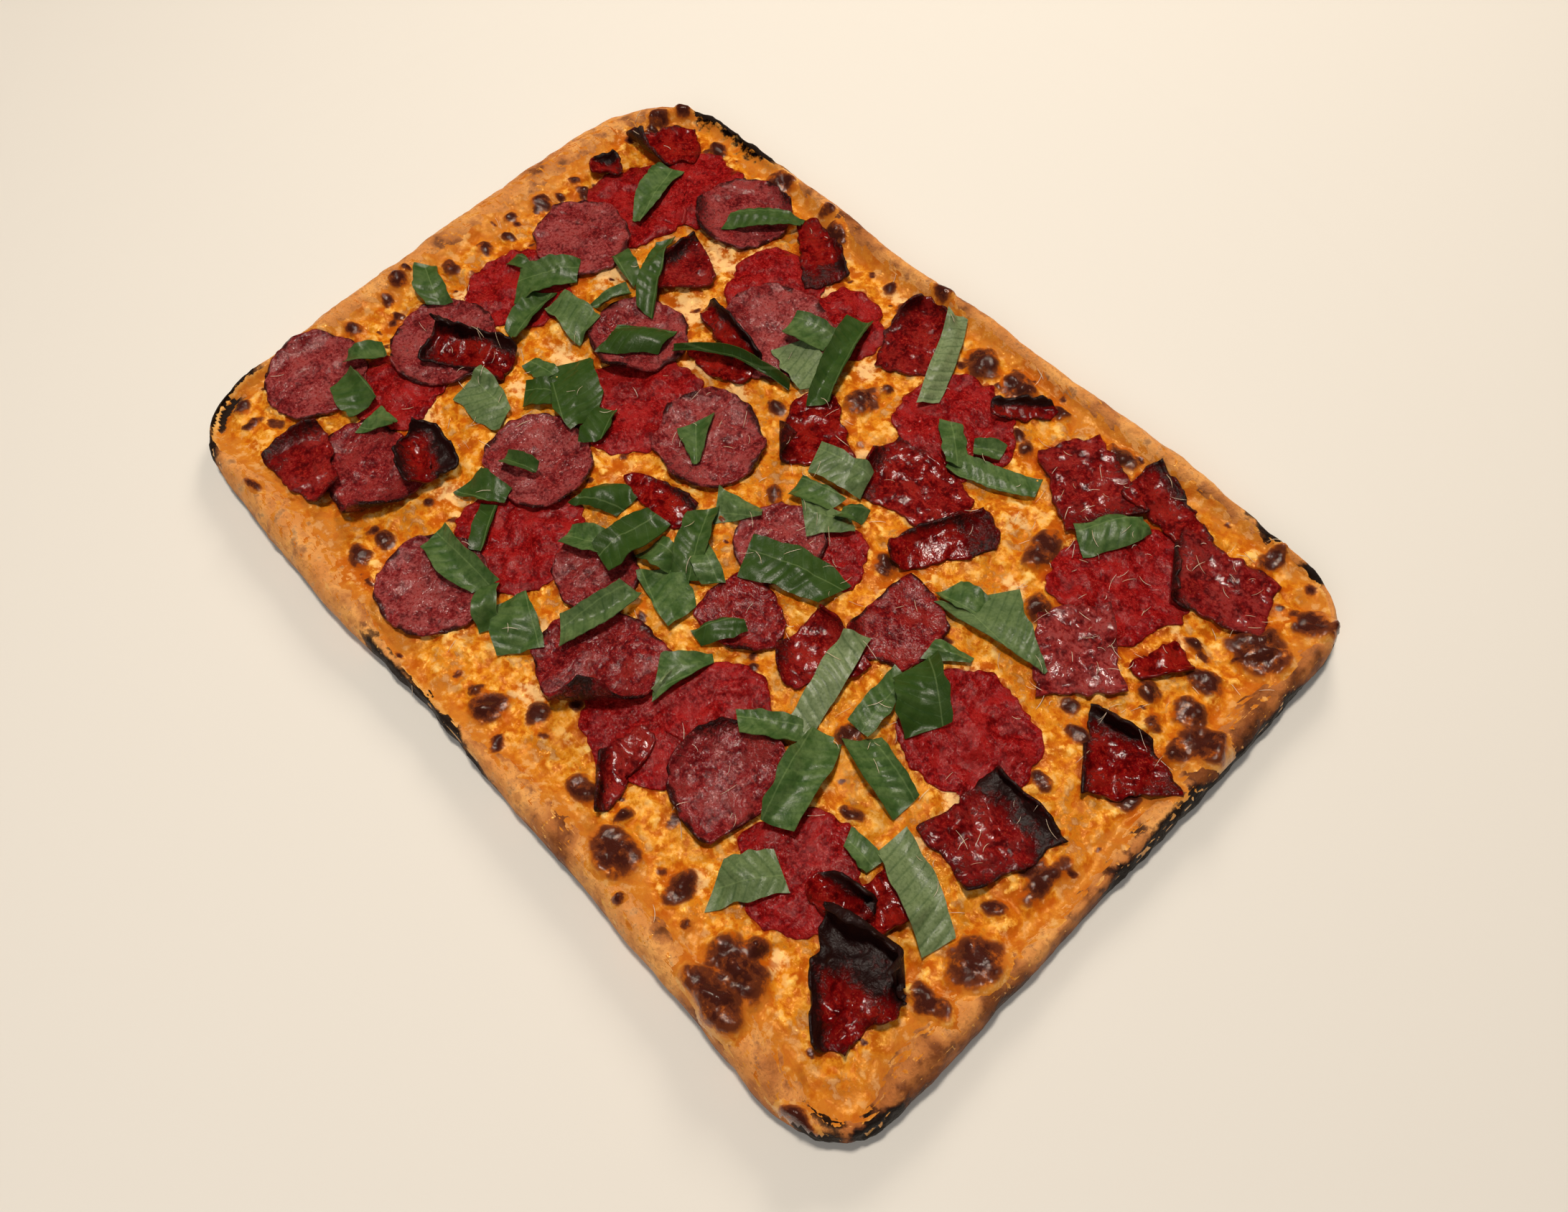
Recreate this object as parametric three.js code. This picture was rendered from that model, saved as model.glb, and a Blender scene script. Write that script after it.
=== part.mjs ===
// A rectangular pan pizza, baked in a half-sheet tin and turned out whole.
// A slab of dough with a soft raised rim carries one layer of molten cheese and sauce, and cured meat lies on
// that: flat salami slices, crisped slices whose edges have cupped, and curled pieces of coppa.
// Millimetres, +Z up. The origin is on the flat underside, in the middle; +X runs along the long side.
import * as THREE from "three";

// Driving dimensions.
const LENGTH = 434; // of the crust, before its sides swell
const WIDTH = 302;
const CORNER = 36; // radius of the crust's corners
const FLOOR = 6; // height of the dough under the cheese
const CHEESE_TOP = 9.6; // usual height of the cheese's surface
const SKIN = 0.9; // thickness of the cheese at its edge, on the rim
const GAP = 0.3; // clearance between pieces that rest on each other
const BED_GAP = 0.8; // clearance between the cheese and the dough, measured upwards, as much of it is sloping
const SLICE = 1.4; // thickness of a flat slice
const CRISP = 1.7; // thickness of a crisped slice or a piece of coppa

// How far the crust swells past the plain outline, and how wide its rim is before the cheese begins. Both go
// anticlockwise in equal steps from the foot of the right end: that end and its corner, the far side and its
// corner, the left end and its corner, the near side and its corner.
// Where the rim is only 3 to 5 wide the cheese has run out to the tin and burnt.
const SWELL = [
  [0, 0.5, 0.5, 0.5, 0.5, 0, -0.5, -2],
  [-4, 1, 1, -1, 0, -5.5, -2, -3, -4, -4.8, -3],
  [7, 6.5, 4.5, 2.5, -0.5, -4.5, -2, 3],
  [6.5, 6.5, 6.5, 2, 2, 2, 2, 2, 3.2, 3.7],
].flat();
const RIM_WIDTH = [
  [16, 17, 8, 12, 13, 15, 12, 5],
  [4, 14, 15, 12, 12, 13, 14, 5, 4, 10, 15],
  [18, 20, 18, 17, 16, 9, 3, 4],
  [15, 17, 12, 3, 10, 17, 16, 18, 12, 5],
].flat();
const NARROWEST_RIM = 3;
const RIM_LOW = 11.5; // height of the rim where it is narrow, and where it is wide
const RIM_HIGH = 17.5;
const WIDE_RIM = 18;
const CREST = 0.42; // share of the rim's width at which it is highest
const SHORE = { at: 0.75, height: 0.86 }; // where the cheese begins, as shares of the rim's width and height
const FOOT = 3; // inset of the crust's underside, which has baked round

// The faces of the crust and the cheese: how many steps along each side and corner.
const STEPS = { short: 11, long: 16, corner: 5 };
const INNER = 30; // inset of the last ring that follows the outline; further in, rings shrink to the middle

// The ground is a square grid that holds the height of what is already there.
const CELL = 1; // size of its cells
const REACH = 0.8; // how far past its outline a piece still counts as ground
const PASSES = 12; // how many times a piece is gone over as it settles

const DOUGH = { color: 0xd09a5c, roughness: 0.85, metalness: 0 };
const CHEESE = { color: 0xd98e35, roughness: 0.35, metalness: 0 };
const SALAMI = { color: 0x8e2226, roughness: 0.45, metalness: 0 };
const CRISPED = { color: 0x74292f, roughness: 0.4, metalness: 0 };
const COPPA = { color: 0x5a1a1d, roughness: 0.35, metalness: 0 };

// The meat, from the lowest piece to the topmost: [x, y, length, width, turn in degrees, form, rise].
// A rise is how far the form lifts the piece's edge or middle.
const FLAT_SLICES = [
  [-150, 107, 52, 50, 0, "flat", 0],
  [-165, 80, 54, 50, 20, "flat", 0],
  [-76, 92, 46, 46, 0, "flat", 0],
  [-38, 99, 42, 38, 30, "flat", 0],
  [-72, 2, 58, 56, 0, "flat", 0],
  [-164, 5, 54, 50, 60, "flat", 0],
  [-155, -73, 48, 42, 0, "flat", 0],
  [-54, -77, 60, 54, 10, "flat", 0],
  [50, -91, 54, 54, 0, "flat", 0],
  [64, -70, 42, 40, 50, "flat", 0],
  [40, 8, 44, 42, 0, "flat", 0],
  [38, 94, 54, 54, 30, "flat", 0],
  [139, 88, 60, 54, 80, "flat", 0],
  [140, -6, 55, 54, 0, "flat", 0],
  [134, -90, 50, 46, 0, "flat", 0],
];
const CRISP_SLICES = [
  [-167, 46, 50, 47, 0, "cup", 1.5],
  [-122, 112, 48, 43, -20, "cup", 4],
  [-56, 74, 54, 52, 0, "cup", 1.5],
  [-99, 26, 46, 44, 0, "cup", 3],
  [-33, 12, 52, 47, 0, "cup", 2],
  [-161, -40, 50, 52, 0, "cup", 3],
  [-187, -96, 48, 47, 0, "cup", 2],
  [-128, -105, 54, 42, 10, "wave", 4],
  [-76, -49, 50, 46, 0, "cup", 2],
  [-58, -120, 50, 46, 0, "cup", 2.5],
  [-16, -67, 38, 36, 0, "cup", 1],
  [16, -93, 58, 40, 45, "cup", 4],
  [28, -2, 40, 38, 0, "cup", 1],
  [42, -34, 36, 32, 0, "cup", 1.5],
  [90, 8, 42, 32, 90, "cup", 1.5],
  [88, -85, 46, 42, 60, "cup", 7],
];
const COPPA_PIECES = [
  [-186, 114, 38, 24, 47, "roll", 6],
  [-194, 84, 15, 13, 60, "cup", 4],
  [-112, 68, 27, 25, 10, "cup", 5],
  [-76, 121, 44, 19, -28, "wave", 4],
  [-62, 43, 36, 12, 15, "wave", 3],
  [-68, 57, 40, 12, -8, "roll", 5],
  [-148, -35, 42, 24, 28, "arch", 5],
  [-147, -126, 44, 24, -8, "wave", 6],
  [-114, -84, 34, 22, -15, "wave", 7],
  [-24, -24, 38, 15, 8, "wave", 2],
  [57, -112, 36, 12, -82, "roll", 4],
  [75, -27, 34, 26, 80, "cup", 4],
  [-7, 117, 40, 28, -60, "roll", 3],
  [-4, 48, 36, 28, -55, "cup", 3],
  [54, 121, 30, 9, 45, "roll", 4],
  [48, 58, 50, 30, 5, "wave", 3],
  [76, 47, 48, 17, 62, "arch", 5],
  [97, 113, 42, 32, -28, "wave", 3],
  [133, 126, 44, 18, -10, "wave", 4],
  [168, 112, 44, 30, 15, "roll", 5],
  [146, 50, 36, 30, -42, "wave", 3],
  [172, 69, 24, 12, 65, "roll", 3],
  [184, 28, 38, 22, -42, "arch", 6],
  [172, -28, 42, 32, 78, "wave", 5],
  [164, -77, 22, 16, 80, "arch", 3],
  [152, -87, 24, 15, 25, "arch", 4],
  [177, -102, 50, 28, -75, "arch", 8],
];

// ---- The outline ----

// The value of a list of amounts at a share of the way round, smoothed between its steps.
function around(amounts, share) {
  const at = share * amounts.length;
  const i = Math.floor(at);
  const t = at - i;
  const [a, b, c, d] = [-1, 0, 1, 2].map((k) => amounts[(i + k + amounts.length) % amounts.length]);
  return b + 0.5 * t * (c - a + t * (2 * a - 5 * b + 4 * c - d + t * (3 * (b - c) + d - a)));
}

// The stations round the crust. Each has the middle of its arc, its outward direction, and how far the crust
// swells there and how wide and high its rim is.
function makeStations() {
  const a = LENGTH / 2 - CORNER;
  const b = WIDTH / 2 - CORNER;
  const middles = [[a, -b], [a, b], [-a, b], [-a, -b]];
  const made = [];
  middles.forEach(([x0, y0], side) => {
    const [x1, y1] = middles[(side + 1) % 4];
    const facing = (side * Math.PI) / 2;
    const steps = side % 2 ? STEPS.long : STEPS.short;
    for (let i = 0; i < steps; i++) {
      const t = i / steps;
      made.push({ x: x0 + (x1 - x0) * t, y: y0 + (y1 - y0) * t, facing });
    }
    for (let i = 0; i < STEPS.corner; i++) {
      made.push({ x: x1, y: y1, facing: facing + ((i / STEPS.corner) * Math.PI) / 2 });
    }
  });
  made.forEach((station, i) => {
    const share = i / made.length;
    station.swell = around(SWELL, share);
    station.rim = Math.max(NARROWEST_RIM, around(RIM_WIDTH, share));
    station.crest = RIM_LOW + (RIM_HIGH - RIM_LOW) * Math.min(1, station.rim / WIDE_RIM);
  });
  return made;
}

// The point of a station at an inset from the outline, drawn towards the crust's middle by scale.
function pointAt(station, inset, scale = 1) {
  const swell = station.swell * Math.max(0, 1 - inset / INNER);
  const out = CORNER - inset + swell;
  const x = station.x + Math.cos(station.facing) * out;
  const y = station.y + Math.sin(station.facing) * out;
  return [x * scale, y * scale];
}

// A closed solid made of rings, from the middle of its underside round to the middle of its top.
// Each ring is a function of the station that gives [x, y, z].
function ringSolid(stations, rings) {
  const profile = rings.map((_, i) => new THREE.Vector2(i && i < rings.length - 1 ? 1 : 0, i));
  const geometry = new THREE.LatheGeometry(profile, stations.length);
  const position = geometry.getAttribute("position");
  for (let i = 0; i < position.count; i++) {
    const station = stations[Math.floor(i / rings.length) % stations.length];
    position.setXYZ(i, ...rings[i % rings.length](station));
  }
  return geometry;
}

// ---- The crust and the cheese ----

// Gentle hills in the cheese.
function hills(x, y) {
  const broad = Math.sin(x / 17 + 1.3 * Math.sin(y / 29)) * Math.sin(y / 15 + 0.8);
  return 0.5 * broad + 0.3 * Math.sin(x / 9 - y / 11);
}

// The dough that the cheese lies on, from the rim's inner slope to the middle.
const BED = [
  (s) => [...pointAt(s, s.rim * SHORE.at), s.crest * SHORE.height],
  (s) => [...pointAt(s, s.rim + 2), FLOOR + 1.2],
  (s) => [...pointAt(s, INNER), FLOOR],
  (s) => [...pointAt(s, INNER, 0.6), FLOOR],
  () => [0, 0, FLOOR],
];

function makeCrust(stations) {
  const outside = [
    () => [0, 0, 0],
    (s) => [...pointAt(s, INNER), 0],
    (s) => [...pointAt(s, FOOT), 0],
    (s) => [...pointAt(s, FOOT * 0.2), FOOT * 0.8],
    (s) => [...pointAt(s, 0), s.crest * 0.5],
    (s) => [...pointAt(s, Math.min(2, s.rim * 0.2)), s.crest * 0.83],
    (s) => [...pointAt(s, s.rim * CREST), s.crest],
  ];
  return ringSolid(stations, [...outside, ...BED]);
}

function makeCheese(stations) {
  const surface = (x, y, z) => [x, y, z + hills(x, y)];
  const top = [
    () => surface(0, 0, CHEESE_TOP),
    (s) => surface(...pointAt(s, INNER, 0.35), CHEESE_TOP),
    (s) => surface(...pointAt(s, INNER, 0.7), CHEESE_TOP),
    (s) => surface(...pointAt(s, INNER), CHEESE_TOP),
    (s) => surface(...pointAt(s, s.rim + 5), CHEESE_TOP + 0.4),
    (s) => [...pointAt(s, s.rim * SHORE.at), s.crest * SHORE.height + BED_GAP + SKIN],
  ];
  const underside = BED.map((ring) => (s) => {
    const [x, y, z] = ring(s);
    return [x, y, z + BED_GAP];
  });
  return ringSolid(stations, [...underside.reverse(), ...top.reverse()]);
}

// ---- The ground: the height of what is already there ----

// Calls visit with each ground cell that a face covers, the weights of its corners there, and how far the
// face falls within it.
function eachCell(ground, [a, b, c], visit) {
  const twice = (b.x - a.x) * (c.y - a.y) - (c.x - a.x) * (b.y - a.y);
  if (Math.abs(twice) < 1e-6) return;
  const sides = [
    [b, c],
    [c, a],
    [a, b],
  ];
  const slopeX = (a.z * (b.y - c.y) + b.z * (c.y - a.y) + c.z * (a.y - b.y)) / twice;
  const slopeY = (a.z * (c.x - b.x) + b.z * (a.x - c.x) + c.z * (b.x - a.x)) / twice;
  const fall = (CELL / 2) * (Math.abs(slopeX) + Math.abs(slopeY));
  const xs = [a.x, b.x, c.x];
  const ys = [a.y, b.y, c.y];
  const first = ground.column(Math.min(...xs) - REACH);
  const last = ground.column(Math.max(...xs) + REACH);
  for (let i = first; i <= last; i++) {
    for (let j = ground.row(Math.min(...ys) - REACH); j <= ground.row(Math.max(...ys) + REACH); j++) {
      const x = (i + 0.5) * CELL - ground.halfX;
      const y = (j + 0.5) * CELL - ground.halfY;
      const weights = sides.map(([p, q]) => ((p.x - x) * (q.y - y) - (q.x - x) * (p.y - y)) / twice);
      const inside = sides.every(([p, q], k) => {
        const altitude = Math.abs(twice) / Math.hypot(q.x - p.x, q.y - p.y);
        return weights[k] * altitude > -REACH;
      });
      if (inside) visit(j * ground.columns + i, weights, fall);
    }
  }
}

function makeGround() {
  const halfX = LENGTH / 2 + 20;
  const halfY = WIDTH / 2 + 20;
  const columns = Math.ceil((2 * halfX) / CELL);
  const rows = Math.ceil((2 * halfY) / CELL);
  const height = new Float32Array(columns * rows);
  const clamp = (value, most) => Math.max(0, Math.min(most - 1, Math.floor(value)));
  const ground = { halfX, halfY, columns, height };
  ground.column = (x) => clamp((x + halfX) / CELL, columns);
  ground.row = (y) => clamp((y + halfY) / CELL, rows);
  ground.at = (x, y) => height[ground.row(y) * columns + ground.column(x)];
  ground.raise = (face) => {
    const top = face.map((p) => p.z);
    eachCell(ground, face, (cell, w, fall) => {
      const z = w[0] * top[0] + w[1] * top[1] + w[2] * top[2] + fall;
      height[cell] = Math.max(height[cell], z);
    });
  };
  return ground;
}

// Adds the upward faces of a finished geometry to the ground.
function addToGround(ground, geometry) {
  const position = geometry.getAttribute("position");
  const index = geometry.index.array;
  const point = (i) => ({ x: position.getX(i), y: position.getY(i), z: position.getZ(i) });
  for (let i = 0; i < index.length; i += 3) {
    const [a, b, c] = [point(index[i]), point(index[i + 1]), point(index[i + 2])];
    const facesUp = (b.x - a.x) * (c.y - a.y) - (c.x - a.x) * (b.y - a.y) > 0;
    if (facesUp) ground.raise([a, b, c]);
  }
}

// ---- The meat ----

// Flat closed solids two units across and one thick, cut finely enough to bend.
function disc() {
  const radii = [0, 0.55, 1];
  const underside = radii.map((r) => new THREE.Vector2(r, 0));
  const top = radii.map((r) => new THREE.Vector2(r, 1)).reverse();
  return new THREE.LatheGeometry([...underside, ...top], 14).rotateX(Math.PI / 2);
}

function plate() {
  const geometry = new THREE.BoxGeometry(2, 2, 1, 4, 3, 1).translate(0, 0, 0.5);
  const position = geometry.getAttribute("position");
  for (let i = 0; i < position.count; i++) {
    const [u, v] = [position.getX(i), position.getY(i)];
    // The corners are drawn in, as torn and shrunken meat has no square ones.
    position.setXY(i, u * Math.sqrt(1 - 0.25 * v * v), v * Math.sqrt(1 - 0.25 * u * u));
  }
  return geometry;
}

// How far each form lifts the point (u, v), which runs from -1 to 1 along and across the piece.
const FORMS = {
  flat: () => 0,
  cup: (u, v) => Math.hypot(u, v) ** 3 * (0.75 + 0.25 * Math.sin(3 * Math.atan2(v, u))),
  roll: (u, v) => Math.max(0, v + 0.2) ** 2 * 0.7 + 0.15 * u * u,
  wave: (u, v) => 0.5 + 0.5 * Math.sin(3.6 * u + 0.9 * v),
  arch: (u, v) => Math.cos(u * 1.4) * (0.8 + 0.2 * v),
};

// An outline that isn't quite round or straight. The seed makes each piece its own.
function uneven(u, v, seed) {
  const angle = Math.atan2(v, u);
  const out = 1 + 0.035 * Math.sin(2 * angle + seed * 2.4) + 0.03 * Math.sin(3 * angle + seed * 4.1);
  return [u * out, v * out];
}

// Lays a flat solid on the ground: it is bent to its form, lifted until no face of its underside comes nearer
// than the gap to what lies below, and then counts as ground itself.
function layDown(geometry, ground, [x0, y0, length, width, degrees, form, rise], thickness, seed) {
  const turn = (degrees * Math.PI) / 180;
  const position = geometry.getAttribute("position");
  const nodes = new Map();
  const nodeOf = [];
  for (let i = 0; i < position.count; i++) {
    const [u, v] = [position.getX(i), position.getY(i)];
    const key = `${Math.round(u * 1e4)},${Math.round(v * 1e4)}`;
    if (!nodes.has(key)) {
      const [p, q] = uneven(u, v, seed);
      const x = x0 + (p * length * Math.cos(turn) - q * width * Math.sin(turn)) / 2;
      const y = y0 + (p * length * Math.sin(turn) + q * width * Math.cos(turn)) / 2;
      nodes.set(key, { x, y, z: ground.at(x, y) + GAP + rise * FORMS[form](u, v) });
    }
    nodeOf.push(nodes.get(key));
  }
  const index = geometry.index.array;
  const faces = [];
  for (let i = 0; i < index.length; i += 3) {
    const corners = [index[i], index[i + 1], index[i + 2]];
    if (corners.every((k) => position.getZ(k) < 0.5)) faces.push(corners.map((k) => nodeOf[k]));
  }
  for (let pass = 0; pass < PASSES; pass++) {
    for (const face of faces) {
      eachCell(ground, face, (cell, w, fall) => {
        const z = w[0] * face[0].z + w[1] * face[1].z + w[2] * face[2].z - fall;
        const short = ground.height[cell] + GAP - z;
        if (short <= 0) return;
        const spread = w[0] * w[0] + w[1] * w[1] + w[2] * w[2];
        face.forEach((node, k) => {
          node.z += Math.max(0, (short * w[k]) / spread);
        });
      });
    }
  }
  for (let i = 0; i < position.count; i++) {
    const { x, y, z } = nodeOf[i];
    position.setXYZ(i, x, y, z + thickness * position.getZ(i));
  }
  addToGround(ground, geometry);
  return geometry;
}

// ---- The pizza ----

function named(name, geometry, look) {
  const mesh = new THREE.Mesh(geometry, new THREE.MeshStandardMaterial(look));
  mesh.name = name;
  return mesh;
}

const pizza = new THREE.Group();
const stations = makeStations();
const ground = makeGround();

const crust = named("crust", makeCrust(stations), DOUGH);
const cheese = named("cheese", makeCheese(stations), CHEESE);
pizza.add(crust, cheese);
addToGround(ground, crust.geometry);
addToGround(ground, cheese.geometry);

const MEAT = [
  { name: "salami_flat", rows: FLAT_SLICES, blank: disc, thickness: SLICE, look: SALAMI },
  { name: "salami_crisp", rows: CRISP_SLICES, blank: disc, thickness: CRISP, look: CRISPED },
  { name: "coppa", rows: COPPA_PIECES, blank: plate, thickness: CRISP, look: COPPA },
];
for (const { name, rows, blank, thickness, look } of MEAT) {
  rows.forEach((row, i) => {
    const number = String(i + 1).padStart(2, "0");
    const geometry = layDown(blank(), ground, row, thickness, i + 1);
    pizza.add(named(`${name}_${number}`, geometry, look));
  });
}

export default pizza;
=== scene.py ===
"""A rectangular pan pizza with salami, coppa, blistered cheese and torn basil.

The dough and the cheese are made again here with all their lumps and blisters. Each slice of meat is a refined copy
of its plain solid, and the leaves and the grated cheese, which are too small to be solids, are laid on top.
Lengths below are in millimetres unless they say otherwise; the scene itself is in metres.
"""

import math

import bmesh
import bpy
import numpy as np
from mathutils import Matrix, Vector
from mathutils.bvhtree import BVHTree


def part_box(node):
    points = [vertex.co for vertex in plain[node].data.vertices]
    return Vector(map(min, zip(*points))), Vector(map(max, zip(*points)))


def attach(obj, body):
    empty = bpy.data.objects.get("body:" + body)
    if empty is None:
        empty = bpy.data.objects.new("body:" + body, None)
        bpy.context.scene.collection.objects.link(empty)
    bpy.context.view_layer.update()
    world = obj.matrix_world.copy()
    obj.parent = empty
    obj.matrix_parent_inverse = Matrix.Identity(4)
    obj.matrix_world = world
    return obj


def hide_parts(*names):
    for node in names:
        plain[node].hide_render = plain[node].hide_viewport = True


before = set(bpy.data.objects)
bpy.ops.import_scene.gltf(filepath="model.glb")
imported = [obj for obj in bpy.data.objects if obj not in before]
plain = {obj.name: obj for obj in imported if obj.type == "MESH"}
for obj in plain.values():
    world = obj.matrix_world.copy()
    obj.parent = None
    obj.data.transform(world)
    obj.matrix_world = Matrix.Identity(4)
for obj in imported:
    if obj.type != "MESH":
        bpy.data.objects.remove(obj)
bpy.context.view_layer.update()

MM = 0.001
rng = np.random.default_rng(7)

# ---------------------------------------------------------------- layout

# Blisters in the cheese that have browned: [x, y, width, depth].
BLISTERS = [
    (-195, 136, 8, 7), (-200, 125, 6, 10), (-197, 118, 6, 6), (-198, 109, 5, 5), (-198, 66, 5, 5),
    (-190, 65, 7, 6), (-197, 56, 4, 4), (-199, 45, 10, 8), (-202, 28, 6, 6), (-192, 20, 6, 5), (-195, 7, 8, 6),
    (-163, 133, 11, 8), (-122, 139, 14, 12), (-78, 134, 12, 10), (-90, 141, 8, 6), (-196, -12, 8, 6),
    (-207, -27, 4, 4), (-206, -35, 5, 9), (-201, -46, 8, 6), (-190, -47, 6, 4), (-199, -67, 6, 8),
    (-198, -129, 8, 8), (-186, -130, 5, 11), (-153, -148, 8, 4), (-93, -122, 9, 8), (-93, -134, 13, 7),
    (-95, -98, 5, 5), (-38, 130, 5, 7), (-25, 126, 6, 5), (-17, 143, 9, 7), (24, 127, 16, 13), (44, 129, 17, 15),
    (67, 132, 9, 7), (0, 74, 12, 17), (3, 87, 5, 6), (59, 109, 6, 6), (67, 108, 8, 7), (-52, 43, 9, 7),
    (7, 13, 9, 8), (65, 24, 10, 9), (-25, 46, 9, 8), (-17, -81, 9, 4), (16, -122, 9, 8), (2, -134, 12, 15),
    (-8, -134, 6, 7), (16, -140, 4, 4), (25, -109, 5, 5), (54, -128, 13, 9), (73, -124, 6, 6), (70, -15, 5, 5),
    (63, -47, 4, 4), (75, -57, 8, 7), (101, 133, 13, 8), (106, 75, 12, 18), (123, 53, 12, 14), (174, 138, 8, 12),
    (202, 123, 14, 12), (195, 100, 22, 20), (175, 85, 8, 5), (190, 75, 13, 9), (194, 60, 13, 12), (205, 53, 18, 12),
    (177, 57, 9, 8), (186, 48, 8, 7), (200, 45, 9, 9), (165, 48, 7, 7), (161, 30, 6, 6), (197, 17, 11, 10),
    (170, 23, 8, 7), (102, 2, 9, 8), (212, 127, 7, 9), (190, -28, 11, 13), (198, -28, 8, 22), (109, -40, 12, 10),
    (132, -60, 10, 6), (201, -67, 15, 20), (199, -89, 14, 8), (192, -49, 6, 8), (109, -126, 9, 12),
    (144, -131, 24, 18), (143, -120, 6, 10), (147, -143, 26, 12), (122, -132, 4, 4), (82, -135, 20, 14),
    (97, -145, 4, 4), (172, -1, 10, 6), (190, -96, 7, 7), (195, -147, 14, 5),
]

# Pools of pale, milky cheese: [x, y, width, depth].
POOLS = [
    (-177, 94, 12, 6), (-108, 85, 22, 14), (-94, 102, 10, 10), (-137, 43, 12, 20), (-95, 53, 18, 16),
    (-182, -20, 10, 6), (-115, -5, 20, 10), (-138, -71, 22, 12), (-91, -87, 16, 14), (-117, -31, 8, 8),
    (-56, 107, 14, 8), (31, 118, 16, 6), (55, 106, 10, 9), (-11, 89, 10, 10), (-45, 38, 10, 9), (-67, 34, 14, 5),
    (19, 50, 8, 16), (89, 78, 8, 12), (144, 117, 10, 6), (110, 53, 8, 8), (127, 11, 12, 10), (172, 83, 10, 5),
    (154, -29, 10, 8), (159, -49, 8, 8), (111, -121, 8, 8), (152, -119, 8, 8), (60, 60, 12, 8), (-20, 60, 12, 9),
    (-30, 128, 16, 8), (10, -120, 14, 8), (-10, -100, 12, 8), (-150, 60, 10, 8),
]

# Where the edge has burnt black: [x, y, length along the edge, depth].
BURNS = [
    (-188, 147, 44, 17), (-161, 148, 46, 16), (-139, 150, 24, 12), (-206, -138, 22, 22), (-192, -153, 26, 12),
    (-213, -120, 12, 16), (-38, -153, 40, 9), (-10, -153, 46, 8), (12, -154, 30, 6), (170, 148, 30, 8),
    (190, 146, 18, 8), (214, -128, 10, 22), (205, -146, 22, 14), (217, 60, 12, 66), (217, 16, 12, 50),
]

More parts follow.
